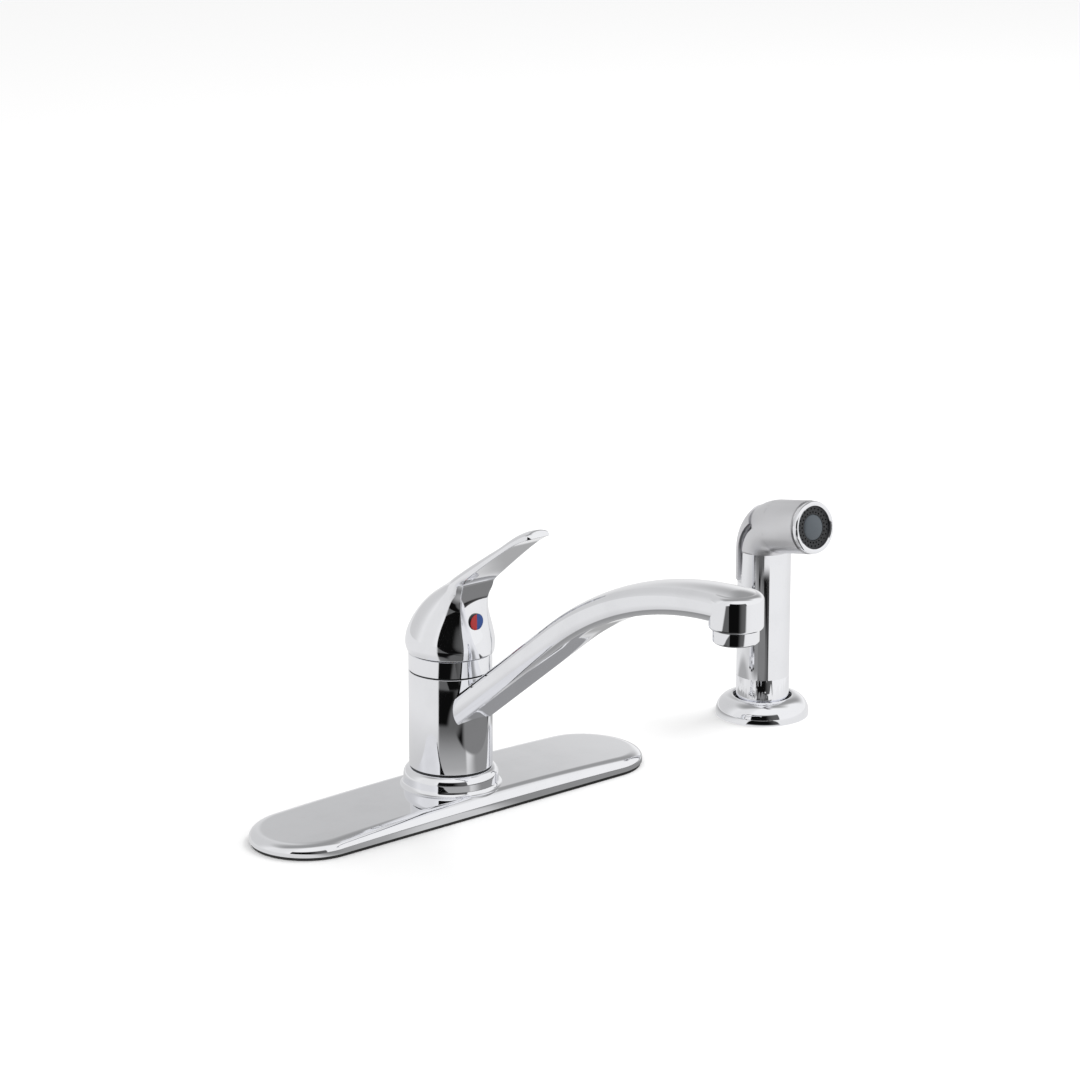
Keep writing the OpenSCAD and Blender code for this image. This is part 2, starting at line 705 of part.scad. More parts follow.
function blade_station(r) = [
    lever_reach * r[0], lever_rise * r[1], lever_root_w * r[2], r[3],
    lever_reach * r[4], lever_rise * r[5], lever_root_w * r[6], r[7]];

stations = concat([for (r = dome_rows) dome_station(r)], [for (r = blade_rows) blade_station(r)]);

// Smooth curve through the stations, at place k + f
function between(k, f) = let (
        last = len(stations) - 1,
        a = stations[max(k - 1, 0)],
        b = stations[k],
        c = stations[min(k + 1, last)],
        d = stations[min(k + 2, last)])
    b + (c - a) * f / 2 + (2 * a - 5 * b + 4 * c - d) * f * f / 2 + (3 * b - a - 3 * c + d) * f * f * f / 2;

lever_steps = 2;
lever_rows = concat(
    [for (k = [0:len(stations) - 2]) for (f = [0:1 / lever_steps:0.99]) between(k, f)],
    [stations[len(stations) - 1]]);

front_n = 6;
side_n = 5;
back_n = 7;

// One closed ring of points for a station
function station_ring(s) = let (
        front = [s[0], s[1]],
        depth = norm([s[4], s[5]] - front),
        aim = ([s[4], s[5]] - front) / depth,
        mid = depth * s[7],
        start = asin(min(s[2] / s[6], 0.999)),
        reach = mid / cos(start),
        half = concat(
            [for (i = [0:side_n]) let (t = start + (90 - start) * i / side_n)
                [s[6] * sin(t), mid - reach * cos(t)]],
            [for (i = [1:back_n - 1]) let (t = 90 + 90 * i / back_n)
                [s[6] * sin(t), mid - (depth - mid) * cos(t)]]),
        flat = concat(
            [for (i = [1:front_n - 1]) let (x = -s[2] + 2 * s[2] * i / front_n)
                [x, -s[3] * (1 - pow(x / s[2], 2))]],
            half,
            [[0, depth]],
            [for (i = [len(half) - 1:-1:0]) [-half[i][0], half[i][1]]]))
    [for (p = flat) [p[0], -front[0] - aim[0] * p[1], bonnet_top + front[1] + aim[1] * p[1]]];

function middle(ring) = [for (axis = [0:2]) let (v = [for (p = ring) p[axis]]) (min(v) + max(v)) / 2];

// Solid through a list of closed rings with the same number of points, all in triangles
module loft(rings) {
    n = len(rings[0]);
    m = len(rings);
    polyhedron(
        points = concat([for (ring = rings) for (p = ring) p], [middle(rings[0]), middle(rings[m - 1])]),
        faces = concat(
            [for (i = [0:n - 1]) [i, (i + 1) % n, m * n]],
            [for (j = [0:m - 2]) for (i = [0:n - 1]) let (k = (i + 1) % n)
                [j * n + i, (j + 1) * n + i, (j + 1) * n + k]],
            [for (j = [0:m - 2]) for (i = [0:n - 1]) let (k = (i + 1) % n)
                [j * n + i, (j + 1) * n + k, j * n + k]],
            [for (i = [0:n - 1]) [(m - 1) * n + (i + 1) % n, (m - 1) * n + i, m * n + 1]]));
}

// Hollow of the skirt, round about the body's axis
module skirt_hollow() {
    lip_r = body_r + turn_clear;
    rotate_extrude($fn = ROUND) polygon([
        [0, bonnet_top - 2], [lip_r, bonnet_top - 2], [lip_r, bonnet_top + 5],
        [skirt_r * 0.84, bonnet_top + dome_h * 0.24], [skirt_r * 0.72, bonnet_top + dome_h * 0.42],
        [skirt_r * 0.5, bonnet_top + dome_h * 0.58], [0, bonnet_top + dome_h * 0.62]]);
}

screw_d = 5;
screw_l = 6;
button_seat = skirt_r * 0.84;

module lever_handle() {
    socket = stem_w + 2 * fit_clear;
    color(CHROME) difference() {
        union() {
            difference() {
                loft([for (s = lever_rows) station_ring(s)]);
                skirt_hollow();
            }
            intersection() {
                translate([-stem_w, -skirt_r * 0.8, bonnet_top + 3.5])
                    cube([2 * stem_w, skirt_r * 0.8 + stem_w, dome_h * 0.6]);
                translate([0, 0, bonnet_top]) cylinder(r = skirt_r * 0.8, h = dome_h, $fn = ROUND);
            }
        }
        translate([-socket / 2, -socket / 2, bonnet_top - 5])
            cube([socket, socket, stem_top - bonnet_top + 5 + 2 * fit_clear]);
        translate([0, 0, bonnet_top + button_z]) screw_axis()
            cylinder(d = screw_d + 2 * fit_clear, h = 2 * skirt_r, $fn = FINE);
        button_axis() translate([0, 0, -3]) cylinder(d = button_d + 2 * fit_clear, h = 12, $fn = FINE);
    }
}

// Axis of the set screw, level and pointing to the user
module screw_axis() {
    rotate([90, 0, 0]) children();
}

// Axis of the button, level, with its origin at the button's outer face
module button_axis() {
    translate([0, -button_seat - 1.6, bonnet_top + button_z]) rotate([90, 0, 0]) children();
}

module lever_set_screw() {
    color(STEEL) translate([0, -stem_w / 2 - 0.05, bonnet_top + button_z]) screw_axis()
        difference() {
            cylinder(d = screw_d, h = screw_l, $fn = FINE);
            translate([0, 0, screw_l - 2.5]) cylinder(d = 2.9, h = 4, $fn = 6);
        }
}

module temperature_button() {
    color([0.75, 0.1, 0.1]) button_axis() translate([0, 0, -2.6]) cylinder(d = button_d, h = 2.5, $fn = FINE);
}

// Side spray: guide fixed in the deck

module guide_flange() {
    lip_r = wand_r + 1.6;
    shell = 2;
    rise = flange_h - 2;
    color(CHROME) spray_place() rotate_extrude($fn = ROUND) polygon(concat(
        [[flange_r - shell, 0], [flange_r, 0]],
        oval(lip_r + 0.6, 2, flange_r - lip_r - 0.6, rise, 0, 90, 18),
        [[lip_r, flange_h - 0.5], [lip_r, flange_h - 3]],
        oval(lip_r + 0.6, 1, flange_r - lip_r - 0.6 - shell, rise - 1.4, 90, 0, 12)));
}

module guide_sleeve() {
    seat_r = wand_r + 1.2;
    color(BLACK) spray_place() rotate_extrude($fn = ROUND) polygon([
        [guide_bore_r, -deck_t - 20], [guide_shank_r - 1.1, -deck_t - 20],
        [guide_shank_r - 1.1, pilot_l - deck_t - 20], [guide_shank_r, pilot_l - deck_t - 20],
        [guide_shank_r, 0],
        [flange_r - 3, 0], [flange_r - 3, 1.2], [seat_r + 0.3, 1.8], [seat_r + 0.3, flange_h - 3.4],
        [seat_r, flange_h - 3.4], [guide_bore_r, 4]]);
}

module guide_washer() {
    color(STEEL) spray_place() tube(guide_shank_r + 7, guide_shank_r + fit_clear, nut_z - 2, nut_z);
}

module guide_nut() {
    color(BRASS) spray_place() difference() {
        hexagon(2 * guide_shank_r + 8, nut_z - 10, nut_z - 2);
        translate([0, 0, nut_z - 12]) cylinder(r = guide_shank_r + fit_clear, h = 14, $fn = ROUND);
    }
}

// Side spray: collar that the hose screws into; the spray turns on it

module hose_collar() {
    color(CHROME) spray_place() rotate_extrude($fn = ROUND) polygon([
        [5.4, -6], [guide_bore_r - 0.8, -6], [guide_bore_r - 0.5, 4.6],
        [wand_r - 0.3, flange_h - 4], [wand_r, flange_h - 2.6], [wand_r, wand_base - 0.3],
        [spigot_r, wand_base - 0.3], [spigot_r, wand_base + 8], [spigot_r - 2, wand_base + 8],
        [spigot_r - 2, 2], [5.4, 2]]);
}

module hose_nipple() {
    color(BRASS) spray_place() {
        tube(5.3, 3.2, -18, 4.4, FINE);
        tube(6.8, 5.2, -18, -6.1, FINE);
        tube(7.4, 5.2, 2.1, 4.4, FINE);
    }
}

trigger_out = wand_r + trigger_proud;
trigger_in = trigger_out - 2.2;
pocket_r = trigger_in - 3;
trigger_bend = 52;
pocket_wrap = trigger_wrap + 12;
barrel_bore_r = pocket_r - 1.8;
valve_z = wand_top - 9;
valve_cup_r = 4.2;
valve_floor = 2.4;
stem_travel = 1.4;
pin_turn = trigger_bend - 8;
pin_r = bend_r + 7.5;
pin_y = -bend_r + pin_r * cos(pin_turn);
pin_z = wand_top + pin_r * sin(pin_turn);
pin_d = 1.8;
tongue_w = 5;
wand_bore_r = 4.5;

module spray_place() {
    translate([spray_x, 0, 0]) children();
}

// Wedge of the handle's circle that the trigger covers, at the back
module back_wedge(r, z0, z1, wrap) {
    far = 3 * r;
    translate([0, 0, z0]) linear_extrude(z1 - z0) polygon(concat([[0, 0]],
        [for (i = [-2:2]) far * [sin(wrap * i / 2), cos(wrap * i / 2)]]));
}

// Turned about the bend's axis: child is drawn as a section round the head's middle line
module bend_sweep(turn) {
    translate([0, -bend_r, wand_top]) rotate([90, 0, 90])
        rotate_extrude(angle = turn, $fn = 180) translate([bend_r, 0]) rotate([0, 0, -90]) children();
}

module wand_barrel() {
    color(CHROME) spray_place() difference() {
        translate([0, 0, wand_base]) cylinder(r = wand_r, h = wand_top - wand_base, $fn = ROUND);
        translate([0, 0, wand_base - 1]) cylinder(r = spigot_r + turn_clear, h = 11, $fn = ROUND);
        translate([0, 0, wand_base]) cylinder(r = barrel_bore_r, h = wand_top, $fn = ROUND);
        difference() {
            back_wedge(wand_r, trigger_z - trigger_gap, wand_top + 1, pocket_wrap);
            translate([0, 0, trigger_z - trigger_gap - 1]) cylinder(r = pocket_r, h = wand_top, $fn = ROUND);
        }
        translate([0, 0, valve_z]) rotate([-90, 0, 0]) cylinder(r = valve_cup_r, h = wand_d, $fn = FINE);
    }
}

// Ring profile of the bend, cut to the pieces in front of and behind the trigger
module head_ring(r_out, r_in) {
    difference() {
        circle(r = r_out, $fn = ROUND);
        circle(r = r_in, $fn = ROUND);
    }
}

module trigger_sector(r_out, r_in, wrap) {
    intersection() {
        head_ring(r_out, r_in);
        polygon(concat([[0, 0]], [for (i = [-2:2]) 3 * r_out * [sin(wrap * i / 2), cos(wrap * i / 2)]]));
    }
}

// Place of the head's own axis: origin at the end of the bend, +Z along the head
module head_axis() {
    translate([0, -bend_r + bend_r * cos(bend_turn), wand_top + bend_r * sin(bend_turn)])
        rotate([bend_turn, 0, 0]) children();
}

head_l = (face_reach - (bend_r - bend_r * cos(bend_turn))) / cos(head_tilt);
face_ring_l = 3.2;
groove_w = 1.1;
face_r = wand_r - face_ring_w - fit_clear;
shell_l = head_l - face_ring_l - groove_w;

module wand_head() {
    inner = wand_r - wand_wall;
    color(SATIN) spray_place() difference() {
        union() {
            bend_sweep(bend_turn) circle(r = wand_r - STEP, $fn = ROUND);
            head_axis() translate([0, 0, -LAP]) cylinder(r = wand_r, h = shell_l + LAP, $fn = ROUND);
            head_axis() cylinder(r = inner, h = shell_l + groove_w, $fn = ROUND);
        }
        head_axis() translate([0, 0, shell_l - 8]) cylinder(r = inner - 2, h = 20, $fn = ROUND);
        head_axis() translate([0, 0, shell_l - 3.1]) cylinder(r = face_r + fit_clear, h = 20, $fn = ROUND);
        bend_sweep(trigger_bend) trigger_sector(wand_r + 2, pocket_r, pocket_wrap);
        trigger_pivot() translate([-tongue_w / 2 - 0.4, -2.8, -2.4]) cube([tongue_w + 0.8, 5.6, wand_r]);
        trigger_pivot() translate([-6.6, 0, 0]) rotate([0, 90, 0]) cylinder(d = pin_d, h = 13.2, $fn = FINE);
        bend_sweep(bend_turn) circle(r = wand_bore_r, $fn = FINE);
        head_axis() translate([0, 0, -LAP]) cylinder(r = wand_bore_r + 0.3, h = shell_l, $fn = FINE);
    }
}

// Place of the trigger's pivot: +Z points out of the bend
module trigger_pivot() {
    translate([0, pin_y, pin_z]) rotate([pin_turn - 90, 0, 0]) children();
}

module valve_block() {
    color(WHITE) spray_place() difference() {
        translate([0, 0, wand_top - 18]) cylinder(r = barrel_bore_r - fit_clear, h = 17.5, $fn = ROUND);
        translate([0, -4.5, wand_top - 19]) cylinder(r = 2, h = 20, $fn = FINE);
        translate([0, -wand_r, valve_z]) rotate([-90, 0, 0]) cylinder(r = 2.1, h = wand_d, $fn = FINE);
        translate([0, valve_floor, valve_z])
            rotate([-90, 0, 0]) cylinder(r = valve_cup_r, h = wand_r, $fn = FINE);
    }
}

module valve_stem() {
    color(STEEL) spray_place() translate([0, trigger_in - 0.4, valve_z]) rotate([90, 0, 0]) {
        cylinder(r = 3.4, h = 1.2, $fn = FINE);
        cylinder(r = 1.7, h = trigger_in + 0.6, $fn = FINE);
    }
}

module valve_spring() {
    spring_r = 2.8;
    wire = 0.8;
    turns = 4;
    length = trigger_in - 1.6 - stem_travel - 0.4 - wire - valve_floor;
    color(STEEL) spray_place() translate([0, valve_floor + 0.1, valve_z]) rotate([-90, 0, 0])
        union() {
            for (i = [0:turns]) translate([0, 0, wire / 2 + i * length / turns])
                rotate_extrude($fn = FINE) translate([spring_r, 0]) circle(d = wire, $fn = 16);
            for (x = [-spring_r, spring_r])
                translate([x, 0, wire / 2]) cylinder(d = wire * 0.7, h = length, $fn = 16);
        }
}

module trigger() {
    color(SATIN) spray_place() difference() {
        union() {
            intersection() {
                tube(trigger_out, trigger_in, trigger_z, wand_top + EPS);
                back_wedge(trigger_out, trigger_z - 1, wand_top + 1, trigger_wrap);
            }
            bend_sweep(trigger_bend - 1.5)
                trigger_sector(trigger_out - STEP, trigger_in + STEP, trigger_wrap);
            trigger_pivot() {
                translate([-tongue_w / 2, -1.9, 0]) cube([tongue_w, 3.8, pin_r * 0.3]);
                translate([-tongue_w / 2, 0, 0])
                    rotate([0, 90, 0]) cylinder(r = 1.9, h = tongue_w, $fn = FINE);
            }
        }
        trigger_pivot() translate([-tongue_w, 0, 0])
            rotate([0, 90, 0]) cylinder(d = pin_d + 0.1, h = 2 * tongue_w, $fn = FINE);
    }
}

module trigger_pin() {
    color(STEEL) spray_place() trigger_pivot() translate([-6.5, 0, 0]) rotate([0, 90, 0])
        cylinder(d = pin_d - 0.02, h = 13, $fn = FINE);
}

module face_ring() {
    color(CHROME) spray_place() head_axis() rotate_extrude($fn = ROUND) polygon(concat(
        [[wand_r - face_ring_w, shell_l + groove_w + 0.1], [wand_r - 0.5, shell_l + groove_w + 0.1]],
        oval(wand_r - 1.8, head_l - 1.5, 1.5, 1.5, 0, 90, 6),
        [[wand_r - face_ring_w, head_l - 0.6]]));
}

module spray_face() {
    color(BLACK) spray_place() head_axis() difference() {
        translate([0, 0, shell_l - 3]) cylinder(r = face_r, h = head_l - shell_l + 1.2, $fn = ROUND);
        for (row = [0:1])
            for (i = [0:nozzle_count - 1])
                rotate([0, 0, (i + row / 2) * 360 / nozzle_count])
                    translate([face_r - 1.6 - 1.9 * row, 0, head_l - 3.2]) cylinder(r = 0.5, h = 4, $fn = 16);
        translate([0, 0, head_l - 2.6]) cylinder(r = face_r - 4.7, h = 4, $fn = FINE);
    }
}

module face_cap() {
    cap_r = face_r - 4.8;
    color(GREY) spray_place() head_axis() rotate_extrude($fn = FINE) polygon(concat(
        [[0, head_l - 2.5], [cap_r, head_l - 2.5]],
        oval(0, head_l - 2.2, cap_r, 1.9, 10, 90, 8)));
}

deck_plate();
deck_gasket();
valve_body();
shank_washer();
shank_nut();
plate_studs();
stud_washers();
stud_wing_nuts();
lower_wear_ring();
upper_wear_ring();
spout_o_rings();
bonnet_ring();
cartridge_body();
cartridge_seals();
cartridge_nut();
diverter_seat();
diverter_piston();
spout();
aerator_washer();
aerator_insert();
aerator_housing();
cartridge_carrier();
stem_pivot_pin();
cartridge_stem();
lever_handle();
lever_set_screw();
temperature_button();
guide_flange();
guide_sleeve();
guide_washer();
guide_nut();
hose_collar();
hose_nipple();
wand_barrel();
wand_head();
valve_block();
valve_spring();
valve_stem();
trigger();
trigger_pin();
face_ring();
spray_face();
face_cap();
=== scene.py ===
"""Kitchen faucet with a side spray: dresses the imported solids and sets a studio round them.

Lengths are in metres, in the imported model's own frame: the origin is on the body's axis in the
plane of the deck, +Z is up, -Y points to the user and +X to the side spray.
"""
import json
import math

import bmesh
import bpy
from bpy.props import FloatProperty, FloatVectorProperty, PointerProperty
from mathutils import Matrix, Vector


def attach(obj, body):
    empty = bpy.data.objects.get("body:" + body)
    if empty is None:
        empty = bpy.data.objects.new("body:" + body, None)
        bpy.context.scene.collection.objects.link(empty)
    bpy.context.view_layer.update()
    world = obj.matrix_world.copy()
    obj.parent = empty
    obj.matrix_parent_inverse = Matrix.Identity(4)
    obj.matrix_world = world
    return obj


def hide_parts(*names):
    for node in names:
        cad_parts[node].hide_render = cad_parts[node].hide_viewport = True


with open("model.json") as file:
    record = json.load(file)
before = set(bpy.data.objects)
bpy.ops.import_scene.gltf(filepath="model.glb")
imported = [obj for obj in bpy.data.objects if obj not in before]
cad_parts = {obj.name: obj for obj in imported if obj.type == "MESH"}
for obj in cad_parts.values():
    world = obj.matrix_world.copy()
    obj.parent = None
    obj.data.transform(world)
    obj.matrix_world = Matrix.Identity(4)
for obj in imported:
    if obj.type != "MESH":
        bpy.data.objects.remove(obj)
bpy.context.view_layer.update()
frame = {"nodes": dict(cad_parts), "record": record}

bl_info = {
    "name": "Kitchen faucet with side spray",
    "version": (1, 0, 0),
    "blender": (4, 5, 0),
    "location": "3D View > Sidebar > Faucet",
    "description": "Builds the chrome, the finishes and the studio of a single-lever kitchen faucet",
    "category": "Object",
}

MM = 0.001
SPRAY_PLACE = (231.5 * MM, 0)
OUTLET_PLACE = (0, -216 * MM)
BONNET_TOP = 84.7 * MM
BUTTON_HEIGHT = BONNET_TOP + 19.6 * MM
ROUND = 128  # segments of a full turn
JOINED = 1e-6  # points closer than this are one point
SHARP = math.radians(30)  # angle from which an edge is shaded sharp


# Sizes and colours that a user would change

def length(name, description, default):
    """A length in metres."""
    return FloatProperty(name=name, description=description, default=default, min=0, subtype="DISTANCE",
                         unit="LENGTH")


def colour(name, description, default):
    """A colour, in linear red, green and blue."""
    return FloatVectorProperty(name=name, description=description, default=default, size=3,
                               subtype="COLOR", min=0, max=1)


class FaucetSizes(bpy.types.PropertyGroup):
    """Sizes of the chrome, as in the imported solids."""

    plate_half: length("Plate's straight half", "Half the plate's length without its round ends", 97.0 * MM)
    plate_r: length("Plate's end radius", "Radius of the deck plate's round ends", 30.5 * MM)
    plate_foot: length("Plate's foot", "Height of the plate's lower edge over the deck", 1.6 * MM)
    plate_h: length("Plate's height", "Height of the plate's top at its middle", 10.8 * MM)
    plate_crown: length("Plate's crown", "How much lower the plate's top is at its ends", 3.4 * MM)
    plate_edge: length("Plate's edge", "Radius of the plate's upper edge", 6.5 * MM)
    body_r: length("Body's radius", "Radius of the upright body", 22.3 * MM)
    collar_r: length("Collar's radius", "Radius of the collar that the body rises from", 25.4 * MM)
    collar_top: length("Collar's top", "Height of the seam under the sleeve", 20.6 * MM)
    sleeve_low: length("Sleeve's lower end", "Height of the turning sleeve's lower end", 21.5 * MM)
    sleeve_top: length("Sleeve's upper end", "Height of the turning sleeve's upper end", 74.0 * MM)
    reach: length("Spout's reach", "From the body's axis to the outlet's axis", 216.0 * MM)
    tip_z: length("Outlet's height", "Height of the spout's flat underside at the outlet", 149.2 * MM)
    arc_r: length("Spout's curve", "Radius of the curve along the spout's underside", 195.0 * MM)
    slope: FloatProperty(name="Spout's slope", description="Slope of the spout's straight part",
                         default=math.radians(37.3), subtype="ANGLE", unit="ROTATION")
    side_r: length("Spout's side", "Radius of the spout's round sides", 13.4 * MM)
    side_n: length("Side's centre", "Height of the sides' centre over the underside", 7.5 * MM)
    thickness: length("Spout's thickness", "Thickness of the spout at its middle line", 15.5 * MM)
    crown_r: length("Spout's crown", "Radius of the spout's crowned top", 30.0 * MM)
    shoulder_r: length("Spout's shoulder", "Radius that rounds the spout's shoulders", 5.0 * MM)
    hub_r: length("Outlet's radius", "Radius of the round end that holds the aerator", 13.55 * MM)
    hub_drop: length("Outlet's drop", "How far the round end hangs below the underside", 3.9 * MM)
    skirt_r: length("Lever's skirt", "Radius of the lever's skirt", 24.1 * MM)
    dome_h: length("Lever's dome", "Height of the lever's dome over the bonnet ring", 36.0 * MM)
    lever_reach: length("Lever's reach", "Reach of the lever's tip from the body's axis", 73.0 * MM)
    lever_rise: length("Lever's rise", "Height of the lever's tip over the bonnet ring", 76.6 * MM)
    lever_w: length("Lever's half width", "Half the lever's width where it leaves the dome", 12.8 * MM)
    flange_r: length("Flange's radius", "Radius of the side spray's domed flange", 26.4 * MM)
    flange_h: length("Flange's height", "Height of the side spray's domed flange", 11.3 * MM)
    wand_r: length("Handle's radius", "Radius of the side spray's handle", 15.1 * MM)


class FaucetColours(bpy.types.PropertyGroup):
    """Colours and gloss of the finishes."""

    chrome: colour("Chrome", "Colour that polished chrome reflects", (0.90, 0.905, 0.93))
    satin: colour("Satin chrome", "Colour of the matt plated spray head", (0.78, 0.78, 0.80))
    steel: colour("Steel", "Colour of washers, pins and the screw", (0.60, 0.60, 0.61))
    brass: colour("Brass", "Colour of the cast and turned brass", (0.72, 0.52, 0.24))
    hot: colour("Hot", "Colour of the button's hot half", (0.45, 0.012, 0.012))
    cold: colour("Cold", "Colour of the button's cold half", (0.006, 0.06, 0.28))
    chrome_gloss: FloatProperty(name="Chrome's roughness", description="Roughness of clean polished chrome",
                                default=0.03, min=0, max=1, subtype="FACTOR")
    satin_gloss: FloatProperty(name="Satin's roughness", description="Roughness of the matt plating",
                               default=0.34, min=0, max=1, subtype="FACTOR")


class FaucetStudio(bpy.types.PropertyGroup):
    """Light and floor of the studio."""

    floor_half: length("Floor's half width", "Half the width of the square floor", 6.0)
    key: FloatProperty(name="Key lamp", description="Power of the large soft lamp", default=26.0, min=0,
                       subtype="POWER", unit="POWER")
    fill: FloatProperty(name="Sky", description="Strength of the even light from all round", default=0.86,
                        min=0)


# Shader maths written as plain expressions

class Number:
    """Wraps a socket that carries a number, so that sums on it add their own nodes."""

    def __init__(self, finish, socket):
        self.finish = finish
        self.socket = socket

    def worked(self, operation, *values):
        sockets = dict(enumerate(values))
        node = self.finish.node("ShaderNodeMath", {"operation": operation}, sockets)
        return Number(self.finish, node.outputs[0])

    def __add__(self, other):
        return self.worked("ADD", self, other)

    def __radd__(self, other):
        return self.worked("ADD", other, self)

    def __sub__(self, other):
        return self.worked("SUBTRACT", self, other)

    def __rsub__(self, other):
        return self.worked("SUBTRACT", other, self)

    def __mul__(self, other):
        return self.worked("MULTIPLY", self, other)

    def __rmul__(self, other):
        return self.worked("MULTIPLY", other, self)

    def __truediv__(self, other):
        return self.worked("DIVIDE", self, other)

    def __pow__(self, other):
        return self.worked("POWER", self, other)

    def above(self, low, high):
        """Rises smoothly from 0 at low to 1 at high, whichever of the two is the larger."""
        node = self.finish.node("ShaderNodeMapRange", {"interpolation_type": "SMOOTHSTEP"},
                                {"Value": self, "From Min": low, "From Max": high})
        return Number(self.finish, node.outputs["Result"])


class Finish:
    """One material and the few calls that fill its node tree."""

    def __init__(self, tree):
        self.tree = tree
        self.tree.nodes.clear()
        self.place = None

    def node(self, kind, settings=None, sockets=None):
        """Adds a node: its settings first, then a value or a link for each socket."""
        made = self.tree.nodes.new(kind)
        for name, value in (settings or {}).items():
            setattr(made, name, value)
        for name, value in (sockets or {}).items():
            self.feed(made.inputs[name], value)
        return made

    def feed(self, socket, value):
        if isinstance(value, Number):
            value = value.socket
        if isinstance(value, bpy.types.NodeSocket):
            self.tree.links.new(value, socket)
        else:
            socket.default_value = value

    def where(self):
        """Position on the object, in metres."""
        if self.place is None:
            self.place = self.node("ShaderNodeTexCoord").outputs["Object"]
        return self.place

    def axes(self, vector=None):
        """The three numbers of a vector."""
        parts = self.node("ShaderNodeSeparateXYZ", {}, {0: vector or self.where()})
        return [Number(self, parts.outputs[name]) for name in "XYZ"]

    def noise(self, scale, detail=2.0, roughness=0.5, stretch=(1, 1, 1)):
        """Soft noise from 0 to 1; scale counts its features in a metre."""
        place = self.node("ShaderNodeMapping", {}, {"Vector": self.where(), "Scale": stretch}).outputs[0]
        sockets = {"Vector": place, "Scale": scale, "Detail": detail, "Roughness": roughness}
        return Number(self, self.node("ShaderNodeTexNoise", {}, sockets).outputs[0])

    def mixed(self, share, first, second):
        """A colour between two others."""
        first = first if isinstance(first, bpy.types.NodeSocket) else tuple(first) + (1.0,)
        second = second if isinstance(second, bpy.types.NodeSocket) else tuple(second) + (1.0,)
        node = self.node("ShaderNodeMix", {"data_type": "RGBA"}, {0: share, 6: first, 7: second})
        return node.outputs[2]

    def bump(self, height, distance, strength=1.0):
        """Normal of a surface with a fine relief."""
        sockets = {"Height": height, "Distance": distance, "Strength": strength}
        return self.node("ShaderNodeBump", {}, sockets).outputs[0]

    def principled(self, **sockets):
        """The surface shader, with its sockets written as words joined by underscores."""
        named = {name.replace("_", " "): value for name, value in sockets.items()}
        shader = self.node("ShaderNodeBsdfPrincipled", {}, named)
        self.node("ShaderNodeOutputMaterial", {}, {"Surface": shader.outputs[0]})


def new_finish(name):
    """A material with an empty node tree, and its finish."""
    material = bpy.data.materials.new(name)
    material.use_nodes = True
    return material, Finish(material.node_tree)


def tinted(colour_value, factor):
    """A colour made darker or lighter by a factor."""
    return tuple(min(1.0, part * factor) for part in colour_value)


# Finishes

def polished_chrome(colours):
    """Bright plating with faint wiping marks and the slight waviness of polished metal."""
    material, finish = new_finish("polished_chrome")
    haze = finish.noise(45, 4, 0.6).above(0.42, 0.75)
    wiped = finish.noise(160, 3, 0.55, (1, 1, 0.15)).above(0.5, 0.8)
    grain = finish.noise(2600, 2)
    wave = finish.noise(60, 1)
    gloss = colours.chrome_gloss + 0.03 * haze + 0.02 * wiped + 0.012 * grain
    finish.principled(
        Base_Color=finish.mixed(haze, colours.chrome, tinted(colours.chrome, 0.965)),
        Metallic=1.0, Roughness=gloss, Normal=finish.bump(wave, 0.02 * MM))
    return material


def satin_chrome(colours):
    """Matt plating over moulded plastic: an even, very fine grain."""
    material, finish = new_finish("satin_chrome")
    grain = finish.noise(5200, 3, 0.7)
    cloud = finish.noise(70, 3)
    finish.principled(
        Base_Color=finish.mixed(cloud, colours.satin, tinted(colours.satin, 0.95)),
        Metallic=1.0, Roughness=colours.satin_gloss + 0.05 * (cloud - 0.5) + 0.06 * (grain - 0.5),
        Normal=finish.bump(grain, 0.02 * MM, 0.5))
    return material


def turned_steel(colours):
    """Rolled steel with fine drawn lines, darker here and there."""
    material, finish = new_finish("turned_steel")
    lines = finish.noise(900, 3, 0.6, (1, 1, 12))
    finish.principled(
        Base_Color=finish.mixed(lines, colours.steel, tinted(colours.steel, 0.82)),
        Metallic=1.0, Roughness=0.24 + 0.16 * lines, Normal=finish.bump(lines, 0.03 * MM, 0.6))
    return material


def machined_brass(colours):
    """Brass with turning marks, duller where it was handled."""
    material, finish = new_finish("machined_brass")
    lines = finish.noise(600, 2, 0.5, (1, 1, 20))
    dull = finish.noise(90, 4, 0.6).above(0.45, 0.7)
    finish.principled(
        Base_Color=finish.mixed(dull, colours.brass, tinted(colours.brass, 0.72)), Metallic=1.0,
        Roughness=0.22 + 0.18 * dull + 0.08 * lines, Normal=finish.bump(lines, 0.03 * MM, 0.5))
    return material


def moulded(name, main, other, gloss, grain_scale, relief):
    """Moulded plastic or rubber: two close tones and a fine spark-eroded grain."""
    material, finish = new_finish(name)
    cloud = finish.noise(120, 3)
    grain = finish.noise(grain_scale, 3, 0.65)
    finish.principled(
        Base_Color=finish.mixed(cloud, main, other), Metallic=0.0,
        Roughness=gloss + 0.12 * (grain - 0.5) + 0.06 * (cloud - 0.5),
        Normal=finish.bump(grain, relief, 0.6))
    return material


def button_enamel(colours):
    """Two halves, hot on the left and cold on the right, under a clear gloss, with a dark rim."""
    material, finish = new_finish("button_enamel")
    x, y, z = finish.axes()
    halves = finish.mixed(x.above(-0.06 * MM, 0.06 * MM), colours.hot, colours.cold)
    across = (x ** 2.0 + (z - BUTTON_HEIGHT) ** 2.0) ** 0.5
    rim = across.above(4.25 * MM, 4.4 * MM)
    grain = finish.noise(2400, 2)
    finish.principled(
        Base_Color=finish.mixed(rim, halves, (0.01, 0.01, 0.015)), Metallic=0.0,
        Roughness=0.3 + 0.08 * grain, Normal=finish.bump(grain, 0.01 * MM, 0.5),
        Coat_Weight=0.15, Coat_Roughness=0.12)
    return material


